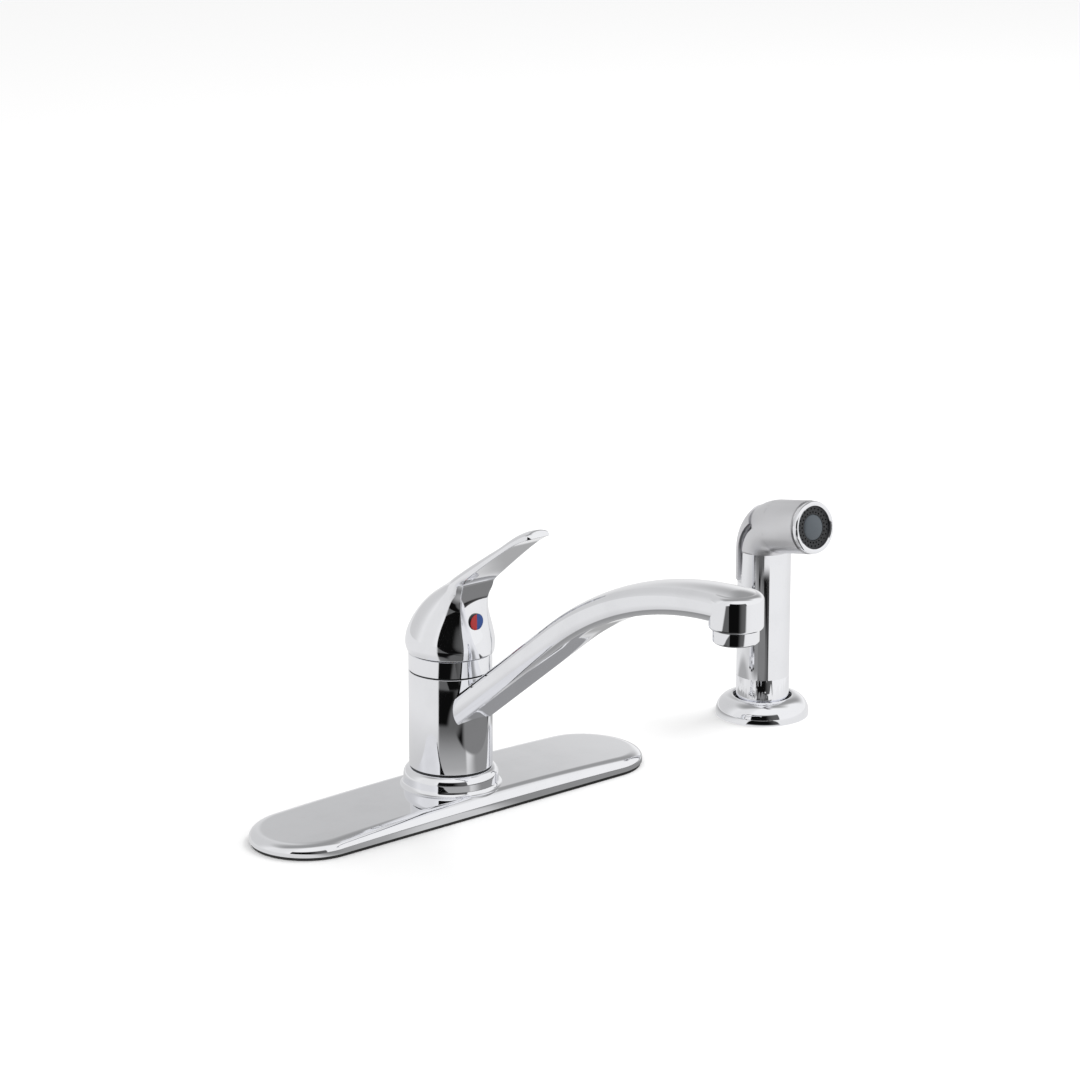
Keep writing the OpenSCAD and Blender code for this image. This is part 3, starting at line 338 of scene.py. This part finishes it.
# Moulded materials: main tone, other tone, roughness, grain's scale and the grain's depth
MOULDED = {
    "black_rubber": ((0.012, 0.012, 0.012), (0.02, 0.02, 0.02), 0.62, 1800, 0.04 * MM),
    "black_plastic": ((0.010, 0.011, 0.013), (0.018, 0.020, 0.023), 0.42, 2600, 0.02 * MM),
    "grey_plastic": ((0.075, 0.09, 0.105), (0.095, 0.11, 0.125), 0.38, 2600, 0.02 * MM),
    "white_plastic": ((0.78, 0.78, 0.75), (0.72, 0.72, 0.69), 0.36, 2200, 0.02 * MM),
}


def all_finishes(colours):
    """Every finish by its slot in the record."""
    finishes = {
        "chrome": polished_chrome(colours),
        "satin_chrome": satin_chrome(colours),
        "steel": turned_steel(colours),
        "brass": machined_brass(colours),
        "red_blue_plastic": button_enamel(colours),
    }
    for name, look in MOULDED.items():
        finishes[name] = moulded(name, *look)
    return finishes


# Modelling helpers

def profile_line(bm, points):
    """A chain of vertices and edges through points."""
    verts = [bm.verts.new(point) for point in points]
    edges = [bm.edges.new(pair) for pair in zip(verts, verts[1:])]
    return verts, edges


def turned(bm, profile, centre=(0, 0), segments=ROUND):
    """Turns a profile of (radius, height) points all the way round an upright axis."""
    x, y = centre
    verts, edges = profile_line(bm, [(x + r, y, z) for r, z in profile])
    bmesh.ops.spin(bm, geom=verts + edges, cent=(x, y, 0), axis=(0, 0, 1), angle=2 * math.pi,
                   steps=segments, use_merge=True)


def arc(cx, cy, rx, ry, start, end, steps):
    """Points of an oval arc between two angles in degrees."""
    points = []
    for index in range(steps + 1):
        angle = math.radians(start + (end - start) * index / steps)
        points.append((cx + rx * math.cos(angle), cy + ry * math.sin(angle)))
    return points


def closed_up(bm):
    """Merges the points that coincide and turns every face outwards."""
    bmesh.ops.remove_doubles(bm, verts=bm.verts, dist=JOINED)
    bmesh.ops.recalc_face_normals(bm, faces=bm.faces)


def to_piece(bm, name, material, body, nodes=(), sharp=SHARP):
    """Makes a smooth-shaded object of a bmesh and hangs it on the body that it rides on."""
    mesh = bpy.data.meshes.new(name)
    bm.to_mesh(mesh)
    bm.free()
    mesh.shade_smooth()
    mesh.set_sharp_from_angle(angle=sharp)
    mesh.materials.append(material)
    piece = bpy.data.objects.new(name, mesh)
    bpy.context.scene.collection.objects.link(piece)
    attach(piece, body)
    if nodes:
        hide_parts(*nodes)
    return piece


def body_of_node(node):
    """Body that a solid rides on."""
    for body, nodes in frame["record"]["behaviour"]["bodies"].items():
        if node in nodes:
            return body
    raise ValueError("no body holds " + node)


def slot_of_node(node):
    """Material slot of a solid."""
    for part in frame["record"]["subparts"]:
        if part["node"] == node:
            return part["material_slot"]
    raise ValueError("no slot for " + node)


def smoothed(node, material, name, sharp=SHARP):
    """A merged, smooth-shaded copy of a solid, which stands for it."""
    bm = bmesh.new()
    bm.from_mesh(frame["nodes"][node].data)
    bmesh.ops.remove_doubles(bm, verts=bm.verts, dist=JOINED)
    piece = to_piece(bm, name, material, body_of_node(node), [node], sharp)
    shading = piece.modifiers.new("even_shading", "WEIGHTED_NORMAL")
    shading.keep_sharp = True
    return piece


# Deck plate and its collar

def plate_rings(sizes):
    """(radius, height) from the plate's lower edge, over its rounded edge, to its flat top."""
    r, top, edge = sizes.plate_r, sizes.plate_h, sizes.plate_edge
    inner = r - 2.2 * MM
    foot, chamfer = sizes.plate_foot, 0.3 * MM
    return ([(inner, foot + 3 * MM), (inner, foot), (r - chamfer, foot), (r, foot + chamfer)]
            + arc(r - edge, top - edge, edge, edge, 0, 90, 20)
            + [(r - edge - 0.4 * MM, top), (r * 0.55, top), (r * 0.25, top), (0.05 * MM, top)])


def plate_shell(bm, sizes):
    """A round plate turned in one piece, its halves drawn apart, then crowned in length."""
    turned(bm, plate_rings(sizes))
    for side in (-1, 1):
        ends = [vert for vert in bm.verts if side * vert.co.x > 1e-6]
        bmesh.ops.translate(bm, verts=ends, vec=(side * sizes.plate_half, 0, 0))
    for step in range(-12, 13):
        everything = bm.verts[:] + bm.edges[:] + bm.faces[:]
        bmesh.ops.bisect_plane(bm, geom=everything, plane_co=(step * 8 * MM, 0, 0), plane_no=(1, 0, 0))
    bmesh.ops.remove_doubles(bm, verts=bm.verts, dist=0.12 * MM)
    half = sizes.plate_half + sizes.plate_r
    rise = sizes.plate_h - sizes.plate_foot
    for vert in bm.verts:
        drop = sizes.plate_crown * (vert.co.x / half) ** 2
        vert.co.z -= drop * (vert.co.z - sizes.plate_foot) / rise


def plate_collar(bm, sizes):
    """Rounded collar on the plate, open in the middle where the body rises out of it."""
    fillet = 2.6 * MM
    bore = 18.3 * MM
    foot = sizes.collar_r + fillet
    shoulder = 4.6 * MM
    inner = sizes.body_r - 0.6 * MM
    top = sizes.collar_top
    turned(bm, [(bore, top - 4 * MM), (bore, top), (inner, top)]
           + arc(inner, top - shoulder, sizes.collar_r - inner, shoulder, 90, 0, 24)
           + arc(foot, sizes.plate_h + fillet - 0.2 * MM, fillet, fillet, 180, 270, 12)
           + [(foot, sizes.plate_h - 1.5 * MM)])


# Spout

def spout_half_section(sizes):
    """Half of the spout's section, from the middle of its underside to its crown: (side, height)."""
    side, low, crown = sizes.side_r, sizes.side_n, sizes.crown_r
    crown_n = sizes.thickness - crown
    gap = low - crown_n
    near, far = side - sizes.shoulder_r, crown - sizes.shoulder_r
    up = (far ** 2 - near ** 2 - gap ** 2) / (2 * gap)
    out = math.sqrt(near ** 2 - up ** 2)
    turn_low = math.degrees(math.atan2(up, out))
    turn_high = math.degrees(math.atan2(low + up - crown_n, out))
    foot = math.degrees(math.asin(low / side))
    foot_x = side * math.cos(math.radians(foot))
    points = [(0, 0), (foot_x * 0.5, 0), (foot_x - 0.5 * MM, 0), (foot_x - 0.15 * MM, 0.06 * MM)]
    points += arc(0, low, side, side, -foot + 2, turn_low, 14)
    points += arc(out, low + up, sizes.shoulder_r, sizes.shoulder_r, turn_low, turn_high, 8)[1:]
    points += arc(0, crown_n, crown, crown, turn_high, 90, 8)[1:]
    return [(max(0.0, x), n) for x, n in points]


def spout_arm(bm, sizes):
    """The arm: a section turned along the curve, drawn out straight, and turned round the outlet."""
    half = spout_half_section(sizes)
    tip = Vector((0, -sizes.reach, sizes.tip_z))
    end, end_edges = profile_line(bm, [tip + Vector((x, 0, n)) for x, n in half])
    bmesh.ops.spin(bm, geom=end + end_edges, cent=tip, axis=(0, 0, 1), angle=-math.pi, steps=72)
    right, right_edges = profile_line(bm, [tip + Vector((x, 0, n)) for x, n in half])
    left, left_edges = profile_line(bm, [tip + Vector((-x, 0, n)) for x, n in half])
    loop = right + left + right_edges + left_edges
    centre = tip - Vector((0, 0, sizes.arc_r))
    bend = bmesh.ops.spin(bm, geom=loop, cent=centre, axis=(1, 0, 0), angle=-sizes.slope, steps=56)
    straight_top = sizes.reach - sizes.arc_r * math.sin(sizes.slope)
    root = 15 * MM
    run = (straight_top - root) / math.cos(sizes.slope)
    down = Vector((0, math.cos(sizes.slope), -math.sin(sizes.slope))) * run
    bmesh.ops.spin(bm, geom=bend["geom_last"], cent=centre, axis=(1, 0, 0), dvec=down, angle=0, steps=1)
    bmesh.ops.remove_doubles(bm, verts=bm.verts, dist=JOINED)
    open_edges = [edge for edge in bm.edges if edge.is_boundary]
    bmesh.ops.holes_fill(bm, edges=open_edges)
    bmesh.ops.recalc_face_normals(bm, faces=bm.faces)


def spout_hub(bm, sizes):
    """Round end under the tip that the aerator screws into."""
    low = sizes.tip_z - sizes.hub_drop
    bore = 10.8 * MM
    foot = 1.6 * MM
    shoulder = 4.2 * MM
    turned(bm, [(bore, low + 6 * MM), (bore, low), (sizes.hub_r - foot, low)]
           + arc(sizes.hub_r - foot, low + foot, foot, foot, -90, 0, 8)
           + arc(sizes.hub_r - shoulder, sizes.tip_z + 10.6 * MM, shoulder, 3.4 * MM, 0, 90, 12)
           + [(sizes.hub_r - shoulder - 1 * MM, sizes.tip_z + 13.2 * MM)],
           centre=(0, -sizes.reach))


def spout_sleeve(bm, sizes):
    """Sleeve that turns round the body, with small rounded ends at its two seams."""
    edge = 0.4 * MM
    r, low, top = sizes.body_r, sizes.sleeve_low, sizes.sleeve_top
    inner = r - 3.9 * MM
    turned(bm, [(inner, low + 2 * MM), (inner, low), (r - edge, low)]
           + arc(r - edge, low + edge, edge, edge, -90, 0, 5)
           + arc(r - edge, top - edge, edge, edge, 0, 90, 5)
           + [(inner, top), (inner, top - 2 * MM)])


# Lever

# Stations of the skirt and dome, as parts of the skirt's radius and the dome's height: front, its
# height, half width of the front panel, the panel's bulge, back, its height, half width, widest place
DOME_ROWS = [
    (0.90, 0.000, 0.40, 0.085, -0.955, 0.000, 0.955, 0.48),
    (0.905, 0.064, 0.40, 0.085, -0.988, 0.064, 0.985, 0.48),
    (0.905, 0.140, 0.40, 0.085, -1.000, 0.140, 1.000, 0.48),
    (0.885, 0.250, 0.39, 0.080, -0.975, 0.270, 0.980, 0.48),
    (0.855, 0.360, 0.39, 0.075, -0.900, 0.400, 0.925, 0.48),
    (0.830, 0.475, 0.385, 0.065, -0.780, 0.540, 0.850, 0.48),
    (0.812, 0.590, 0.38, 0.055, -0.620, 0.680, 0.765, 0.48),
    (0.800, 0.700, 0.375, 0.045, -0.420, 0.810, 0.695, 0.47),
    (0.805, 0.810, 0.38, 0.035, -0.190, 0.925, 0.640, 0.46),
    (0.835, 0.915, 0.40, 0.025, 0.060, 1.030, 0.605, 0.44),
    (0.900, 1.020, 0.44, 0.015, 0.320, 1.140, 0.580, 0.42),
]
# Stations of the blade, as parts of the lever's reach, rise and half width
BLADE_ROWS = [
    (0.320, 0.539, 0.84, 0.3, 0.178, 0.583, 1.09, 0.41),
    (0.363, 0.586, 0.97, 0.1, 0.267, 0.638, 1.07, 0.40),
    (0.418, 0.630, 0.99, 0, 0.342, 0.687, 1.04, 0.38),
    (0.493, 0.685, 0.95, 0, 0.432, 0.743, 0.985, 0.37),
    (0.596, 0.760, 0.90, 0, 0.544, 0.812, 0.93, 0.36),
    (0.722, 0.847, 0.81, 0, 0.677, 0.892, 0.845, 0.36),
    (0.830, 0.918, 0.740, 0, 0.785, 0.968, 0.78, 0.36),
    (0.915, 0.964, 0.680, 0, 0.865, 1.012, 0.72, 0.38),
    (0.968, 0.985, 0.590, 0, 0.920, 1.031, 0.63, 0.42),
    (0.994, 0.995, 0.440, 0, 0.955, 1.035, 0.48, 0.48),
]
FRONT_STEPS = 8
SIDE_STEPS = 6
BACK_STEPS = 7


def lever_stations(sizes):
    skirt, dome = sizes.skirt_r, sizes.dome_h
    reach, rise, width = sizes.lever_reach, sizes.lever_rise, sizes.lever_w
    rows = []
    for a, b, c, d, e, f, g, h in DOME_ROWS:
        rows.append((skirt * a, dome * b, skirt * c, skirt * d, skirt * e, dome * f, skirt * g, h))
    for a, b, c, d, e, f, g, h in BLADE_ROWS:
        rows.append((reach * a, rise * b, width * c, d * MM, reach * e, rise * f, width * g, h))
    return rows


def lever_ring(station):
    """One closed ring of points round the lever, from the panel's left corner through its right one."""
    front_s, front_z, panel, bulge, back_s, back_z, half_w, widest = station
    depth = math.hypot(back_s - front_s, back_z - front_z)
    aim = ((back_s - front_s) / depth, (back_z - front_z) / depth)
    mid = depth * widest
    start = math.asin(min(panel / half_w, 0.999))
    reach = mid / math.cos(start)
    half = []
    for index in range(SIDE_STEPS + 1):
        turn = start + (math.pi / 2 - start) * index / SIDE_STEPS
        half.append((half_w * math.sin(turn), mid - reach * math.cos(turn)))
    for index in range(1, BACK_STEPS):
        turn = math.pi / 2 * (1 + index / BACK_STEPS)
        half.append((half_w * math.sin(turn), mid - (depth - mid) * math.cos(turn)))
    flat = []
    for index in range(1, FRONT_STEPS):
        x = panel * (2 * index / FRONT_STEPS - 1)
        flat.append((x, -bulge * (1 - (x / panel) ** 2)))
    flat += half + [(0, depth)] + [(-x, n) for x, n in reversed(half)]
    return [Vector((x, -front_s - aim[0] * n, BONNET_TOP + front_z + aim[1] * n)) for x, n in flat]


def between(rows, index, share):
    """Station on the smooth curve through the rows, part of the way from one to the next."""
    a = rows[max(index - 1, 0)]
    b = rows[index]
    c = rows[min(index + 1, len(rows) - 1)]
    d = rows[min(index + 2, len(rows) - 1)]
    t = share
    return tuple(
        q + (r - p) * t / 2 + (2 * p - 5 * q + 4 * r - s) * t * t / 2 + (3 * q - p - 3 * r + s) * t ** 3 / 2
        for p, q, r, s in zip(a, b, c, d))


def lever_shell(bm, sizes):
    """A grid wrapped round the lever's stations, with an inner lip at the skirt and a closed tip."""
    rows = lever_stations(sizes)
    stations = []
    for index in range(len(rows) - 1):
        stations += [rows[index], between(rows, index, 0.5)]
    stations.append(rows[-1])
    rings = [lever_ring(station) for station in stations]
    lip_r = sizes.body_r + 0.3 * MM
    foot = Vector((0, 0, BONNET_TOP))
    lip = [Vector((point.x, point.y, 0)).normalized() * lip_r + foot for point in rings[0]]
    inside = [point + Vector((0, 0, 4 * MM)) for point in lip]
    tip = sum(rings[-1], Vector()) / len(rings[-1])
    cap = [tip.lerp(point, 0.5) for point in rings[-1]]
    rings = [inside, lip] + rings + [cap, [tip] * len(cap)]
    around = len(rings[0])
    grid = bmesh.ops.create_grid(bm, x_segments=around, y_segments=len(rings) - 1, size=1)["verts"]
    crease = bm.edges.layers.float.new("crease_edge")
    for index, vert in enumerate(grid):
        vert.co = rings[index // (around + 1)][(index % (around + 1)) % around]
    corners = (FRONT_STEPS - 1, around - 1)
    column = {vert: index % (around + 1) % around for index, vert in enumerate(grid)}
    row = {vert: index // (around + 1) for index, vert in enumerate(grid)}
    for edge in bm.edges:
        first, second = edge.verts
        if row[first] == row[second]:
            if row[first] in (1, 2):
                edge[crease] = 0.9
        elif column[first] == column[second] and column[first] in corners:
            if min(row[first], row[second]) > 1:
                edge[crease] = 0.55
    closed_up(bm)


# Side spray

def flange_profile(sizes):
    """(radius, height) over the domed flange, from the deck to the lip round the spray."""
    lip = sizes.wand_r + 1.6 * MM
    top = sizes.flange_h
    over = sizes.flange_r - lip - 0.6 * MM
    return ([(sizes.flange_r - 2 * MM, 0), (sizes.flange_r, 0)]
            + arc(lip + 0.6 * MM, 2 * MM, over, top - 2 * MM, 0, 90, 32)
            + [(lip + 0.15 * MM, top - 0.12 * MM), (lip, top - 0.5 * MM), (lip, top - 4 * MM)])


class FAUCET_OT_deck_plate(bpy.types.Operator):
    """Builds the chrome deck plate with the collar that the body rises from"""

    bl_idname = "faucet.deck_plate"
    bl_label = "Deck plate"

    def execute(self, context):
        sizes = context.scene.faucet_sizes
        bm = bmesh.new()
        plate_shell(bm, sizes)
        plate_collar(bm, sizes)
        closed_up(bm)
        to_piece(bm, "deck_plate_chrome", FINISHES["chrome"], "faucet_base", ["deck_plate"])
        return {"FINISHED"}


class FAUCET_OT_spout(bpy.types.Operator):
    """Builds the spout's casting: the turning sleeve, the arm and the round end"""

    bl_idname = "faucet.spout"
    bl_label = "Spout"

    def execute(self, context):
        sizes = context.scene.faucet_sizes
        bm = bmesh.new()
        spout_arm(bm, sizes)
        to_piece(bm, "spout_arm_chrome", FINISHES["chrome"], "spout_arm", ["spout"])
        bm = bmesh.new()
        spout_hub(bm, sizes)
        spout_sleeve(bm, sizes)
        closed_up(bm)
        to_piece(bm, "spout_sleeve_chrome", FINISHES["chrome"], "spout_arm", ["spout"])
        return {"FINISHED"}


class FAUCET_OT_lever(bpy.types.Operator):
    """Builds the lever's smooth shell"""

    bl_idname = "faucet.lever"
    bl_label = "Lever"

    def execute(self, context):
        sizes = context.scene.faucet_sizes
        bm = bmesh.new()
        lever_shell(bm, sizes)
        piece = to_piece(bm, "lever_chrome", FINISHES["chrome"], "lever", ["lever_handle"],
                         sharp=math.pi)
        smooth = piece.modifiers.new("smooth_skin", "SUBSURF")
        smooth.levels = 2
        smooth.render_levels = 2
        return {"FINISHED"}


class FAUCET_OT_button(bpy.types.Operator):
    """Builds the domed button with its red and blue halves"""

    bl_idname = "faucet.button"
    bl_label = "Temperature button"

    def execute(self, context):
        bm = bmesh.new()
        r, front = 4.65 * MM, 21.84 * MM
        depth, rim, dome = 2.4 * MM, 0.25 * MM, 0.1 * MM
        side = [(0, -depth), (r - 0.1 * MM, -depth), (r - 0.1 * MM, -rim), (r - 0.3 * MM, -0.05 * MM)]
        face = [(r * share, dome * (1 - share ** 2)) for share in (0.9, 0.75, 0.55, 0.3, 0.0)]
        turned(bm, side + face, segments=64)
        place = Matrix.Translation((0, -front, BUTTON_HEIGHT)) @ Matrix.Rotation(math.pi / 2, 4, "X")
        bmesh.ops.transform(bm, matrix=place, verts=bm.verts)
        closed_up(bm)
        to_piece(bm, "button_enamel", FINISHES["red_blue_plastic"], "lever",
                 ["temperature_button"])
        return {"FINISHED"}


class FAUCET_OT_guide(bpy.types.Operator):
    """Builds the domed flange that the side spray stands in"""

    bl_idname = "faucet.guide"
    bl_label = "Spray guide"

    def execute(self, context):
        sizes = context.scene.faucet_sizes
        bm = bmesh.new()
        turned(bm, flange_profile(sizes), centre=SPRAY_PLACE)
        closed_up(bm)
        to_piece(bm, "guide_flange_chrome", FINISHES["chrome"], "faucet_base", ["guide_flange"])
        return {"FINISHED"}


class FAUCET_OT_turned_parts(bpy.types.Operator):
    """Stands smooth copies in for the round solids whose shape is already right"""

    bl_idname = "faucet.turned_parts"
    bl_label = "Turned parts"

    def execute(self, context):
        for node in ("bonnet_ring", "aerator_housing", "hose_collar", "wand_barrel", "wand_head", "trigger",
                     "face_ring", "face_cap"):
            smoothed(node, FINISHES[slot_of_node(node)], node + "_smooth")
        return {"FINISHED"}


class FAUCET_OT_finishes(bpy.types.Operator):
    """Puts a finish on every solid that is shown as it is"""

    bl_idname = "faucet.finishes"
    bl_label = "Finishes"

    def execute(self, context):
        for node, solid in frame["nodes"].items():
            finish = FINISHES[slot_of_node(node)]
            for slot in solid.material_slots:
                slot.material = finish
        return {"FINISHED"}


# Studio

def level_distance(x, y, centre=(0, 0)):
    dx, dy = x - centre[0], y - centre[1]
    return (dx ** 2.0 + dy ** 2.0) ** 0.5


def facing(x, y, azimuth, centre=(0, 0)):
    """Cosine of the level angle between an azimuth and the way from a centre to a place."""
    turn = math.radians(azimuth)
    dx, dy = x - centre[0], y - centre[1]
    return (dx * math.cos(turn) + dy * math.sin(turn)) / level_distance(x, y, centre)


def within(x, y, first, last, edge, centre=(0, 0)):
    """1 between two azimuths seen from a centre and 0 outside them, over a soft edge in degrees."""
    half = (last - first) / 2
    return facing(x, y, (first + last) / 2, centre).above(
        math.cos(math.radians(half + edge)), math.cos(math.radians(half - edge)))


def toward(tone, share, goal):
    """A tone moved part of the way to another."""
    return tone + share * (goal - tone)


def painted_room_tone(x, y, centre=(0, 0)):
    """Painted reflection of an unlit room: black, with a little light in its right part."""
    return 0.004 + 0.11 * within(x, y, 248, 290, 14, centre)


def painted_floor_reflection(x, y):
    """Painted reflection: the tone that the floor glows with where polished metal mirrors it, pale, with
    painted shade near the body, and a painted dark room beyond its front edge.
    """
    away = level_distance(x, y)
    from_spray = level_distance(x, y, SPRAY_PLACE)
    # Pale floor, a little lighter on the right, with painted shade that darkens it a little close to the
    # body
    tone = toward(0.82, within(x, y, 275, 345, 20), 0.90)
    tone = tone * (0.74 + 0.26 * away.above(0.03, 0.22))
    # Painted shade: grey in front of the body, and painted shadows where the arm and the tip shade the
    # floor
    painted_front_shade = within(x, y, 199, 268, 3) * away.above(0.05, 0.075)
    tone = toward(tone, painted_front_shade, 0.42 - 0.30 * away.above(0.055, 0.175))
    painted_arm_shadow = level_distance(x, y, (0.08, -0.05)).above(0.085, 0.05)
    painted_tip_shadow = level_distance(x, y, (0.175, 0.055)).above(0.065, 0.03)
    tone = toward(tone, painted_arm_shadow, 0.28)
    tone = toward(tone, painted_tip_shadow, 0.42)
    # Painted reflection of the dark room beyond the front edge, as the body, the outlet and the spray
    # mirror it
    outside = 1 - within(x, y, 196, 254, 2, OUTLET_PLACE)
    beside_outlet = outside * level_distance(x, y, OUTLET_PLACE).above(0.18, 0.14)
    front = within(x, y, 199, 269, 1) * away.above(0.165, 0.185) * away.above(0.41, 0.38)
    tone = toward(tone, front * (1 - beside_outlet), painted_room_tone(x, y))
    beyond = within(x, y, 196, 260, 1, OUTLET_PLACE) * away.above(0.38, 0.41)
    tone = toward(tone, beyond, painted_room_tone(x, y, OUTLET_PLACE))
    by_spray = within(x, y, 204, 250, 1, SPRAY_PLACE) * from_spray.above(0.34, 0.30)
    below_lever = within(x, y, 262, 345, 6) * away.above(0.22, 0.18)
    painted_room_by_spray = toward(painted_room_tone(x, y, SPRAY_PLACE), below_lever, 0.22)
    return toward(tone, by_spray * from_spray.above(0.027, 0.03), painted_room_by_spray)


def white_floor(studio):
    """Plain pale floor that keeps the soft shadows; where polished metal mirrors it, it glows with painted
    reflection tones and painted shade instead.
    """
    bm = bmesh.new()
    bmesh.ops.create_grid(bm, x_segments=1, y_segments=1, size=studio.floor_half)
    mesh = bpy.data.meshes.new("studio_floor")
    bm.to_mesh(mesh)
    bm.free()
    material, finish = new_finish("studio_floor")
    rays = finish.node("ShaderNodeLightPath")
    seen = Number(finish, rays.outputs["Is Camera Ray"])
    mirrored = Number(finish, rays.outputs["Is Glossy Ray"])
    x, y, z = finish.axes()
    matt = finish.node("ShaderNodeBsdfDiffuse", {}, {"Color": (0.93, 0.93, 0.93, 1)})
    lift = finish.node("ShaderNodeEmission", {}, {"Strength": seen * 0.09})
    both = finish.node("ShaderNodeAddShader", {}, {0: matt.outputs[0], 1: lift.outputs[0]})
    # Painted reflection: for mirror rays the floor glows with painted tones, shadows and a dark room
    painted_reflection_glow = finish.node("ShaderNodeEmission", {}, {"Strength": painted_floor_reflection(x, y)})
    shown = finish.node("ShaderNodeMixShader", {}, {0: mirrored, 1: both.outputs[0], 2: painted_reflection_glow.outputs[0]})
    finish.node("ShaderNodeOutputMaterial", {}, {"Surface": shown.outputs[0]})
    mesh.materials.append(material)
    floor = bpy.data.objects.new("studio_floor", mesh)
    bpy.context.scene.collection.objects.link(floor)


def mirrored_sky(x, y, z):
    """Tone of the sky where polished metal mirrors it, by direction."""
    tone = toward(0.94, within(x, y, 60, 130, 26), 0.66)
    tone = toward(tone, within(x, y, 150, 190, 12), 0.82)
    low_right = within(x, y, 12, 52, 14) * z.above(0.10, 0.52)
    tone = toward(tone, low_right, 0.34)
    overhead = (0.5 * x + 0.85 * y).above(-0.15, 0.15) * z.above(0.72, 0.94)
    tone = toward(tone, overhead, 0.34)
    room = within(x, y, 198, 269, 1) * z.above(0.64, 0.50)
    return toward(tone, room, painted_room_tone(x, y))


def white_sky(studio):
    """World: white for the camera, a little less as light, and toned where the metal mirrors it."""
    world = bpy.data.worlds.new("studio_sky")
    bpy.context.scene.world = world
    world.use_nodes = True
    finish = Finish(world.node_tree)
    rays = finish.node("ShaderNodeLightPath")
    seen = Number(finish, rays.outputs["Is Camera Ray"])
    mirrored = Number(finish, rays.outputs["Is Glossy Ray"])
    x, y, z = finish.axes(finish.node("ShaderNodeTexCoord").outputs["Generated"])
    unseen = toward(studio.fill, mirrored, mirrored_sky(x, y, z))
    light = finish.node("ShaderNodeBackground", {}, {"Color": (1, 1, 1, 1),
                                                     "Strength": toward(unseen, seen, 1.0)})
    finish.node("ShaderNodeOutputWorld", {}, {"Surface": light.outputs[0]})


def soft_lamp(name, place, aim, size, power):
    """Large rectangular lamp that lights the object but isn't mirrored in it."""
    data = bpy.data.lights.new(name, "AREA")
    data.shape = "RECTANGLE"
    data.size, data.size_y = size
    data.energy = power
    lamp = bpy.data.objects.new(name, data)
    lamp.location = place
    lamp.rotation_euler = (Vector(aim) - Vector(place)).to_track_quat("-Z", "Y").to_euler()
    lamp.visible_glossy = False
    bpy.context.scene.collection.objects.link(lamp)


def picture_camera():
    """Camera where the photograph's perspective puts it, for a square picture."""
    data = bpy.data.cameras.new("picture_camera")
    data.lens = 131.1
    data.sensor_width = 36
    data.clip_start = 0.05
    camera = bpy.data.objects.new("picture_camera", data)
    camera.location = (-1.273, -1.526, 0.695)
    camera.rotation_euler = Vector((0.6348, 0.7251, -0.2671)).to_track_quat("-Z", "Y").to_euler()
    bpy.context.scene.collection.objects.link(camera)
    bpy.context.scene.camera = camera


class FAUCET_OT_studio(bpy.types.Operator):
    """Sets the floor, the sky, the lamp and the camera"""

    bl_idname = "faucet.studio"
    bl_label = "Studio"

    def execute(self, context):
        studio = context.scene.faucet_studio
        white_floor(studio)
        white_sky(studio)
        soft_lamp("key_lamp", (1.6, -0.4, 1.8), (0.1, 0, 0.05), (1.4, 1.4), studio.key)
        picture_camera()
        context.scene.view_settings.view_transform = "Standard"
        return {"FINISHED"}


PIECES = (FAUCET_OT_finishes, FAUCET_OT_deck_plate, FAUCET_OT_spout, FAUCET_OT_lever, FAUCET_OT_button,
          FAUCET_OT_guide, FAUCET_OT_turned_parts, FAUCET_OT_studio)


class FAUCET_PT_panel(bpy.types.Panel):
    """Lists the faucet's pieces in the sidebar"""

    bl_idname = "FAUCET_PT_panel"
    bl_label = "Kitchen faucet"
    bl_space_type = "VIEW_3D"
    bl_region_type = "UI"
    bl_category = "Faucet"

    def draw(self, context):
        for piece in PIECES:
            self.layout.operator(piece.bl_idname)
        scene = context.scene
        for group in (scene.faucet_sizes, scene.faucet_colours, scene.faucet_studio):
            box = self.layout.box()
            for name in group.__annotations__:
                box.prop(group, name)


GROUPS = (FaucetSizes, FaucetColours, FaucetStudio)
FINISHES = {}


def register():
    for kind in GROUPS + PIECES + (FAUCET_PT_panel,):
        bpy.utils.register_class(kind)
    bpy.types.Scene.faucet_sizes = PointerProperty(type=FaucetSizes)
    bpy.types.Scene.faucet_colours = PointerProperty(type=FaucetColours)
    bpy.types.Scene.faucet_studio = PointerProperty(type=FaucetStudio)


def unregister():
    del bpy.types.Scene.faucet_studio
    del bpy.types.Scene.faucet_colours
    del bpy.types.Scene.faucet_sizes
    for kind in reversed(GROUPS + PIECES + (FAUCET_PT_panel,)):
        bpy.utils.unregister_class(kind)


def main():
    register()
    FINISHES.update(all_finishes(bpy.context.scene.faucet_colours))
    bpy.ops.faucet.finishes()
    bpy.ops.faucet.deck_plate()
    bpy.ops.faucet.spout()
    bpy.ops.faucet.lever()
    bpy.ops.faucet.button()
    bpy.ops.faucet.guide()
    bpy.ops.faucet.turned_parts()
    bpy.ops.faucet.studio()
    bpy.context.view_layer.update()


if __name__ == "__main__":
    main()
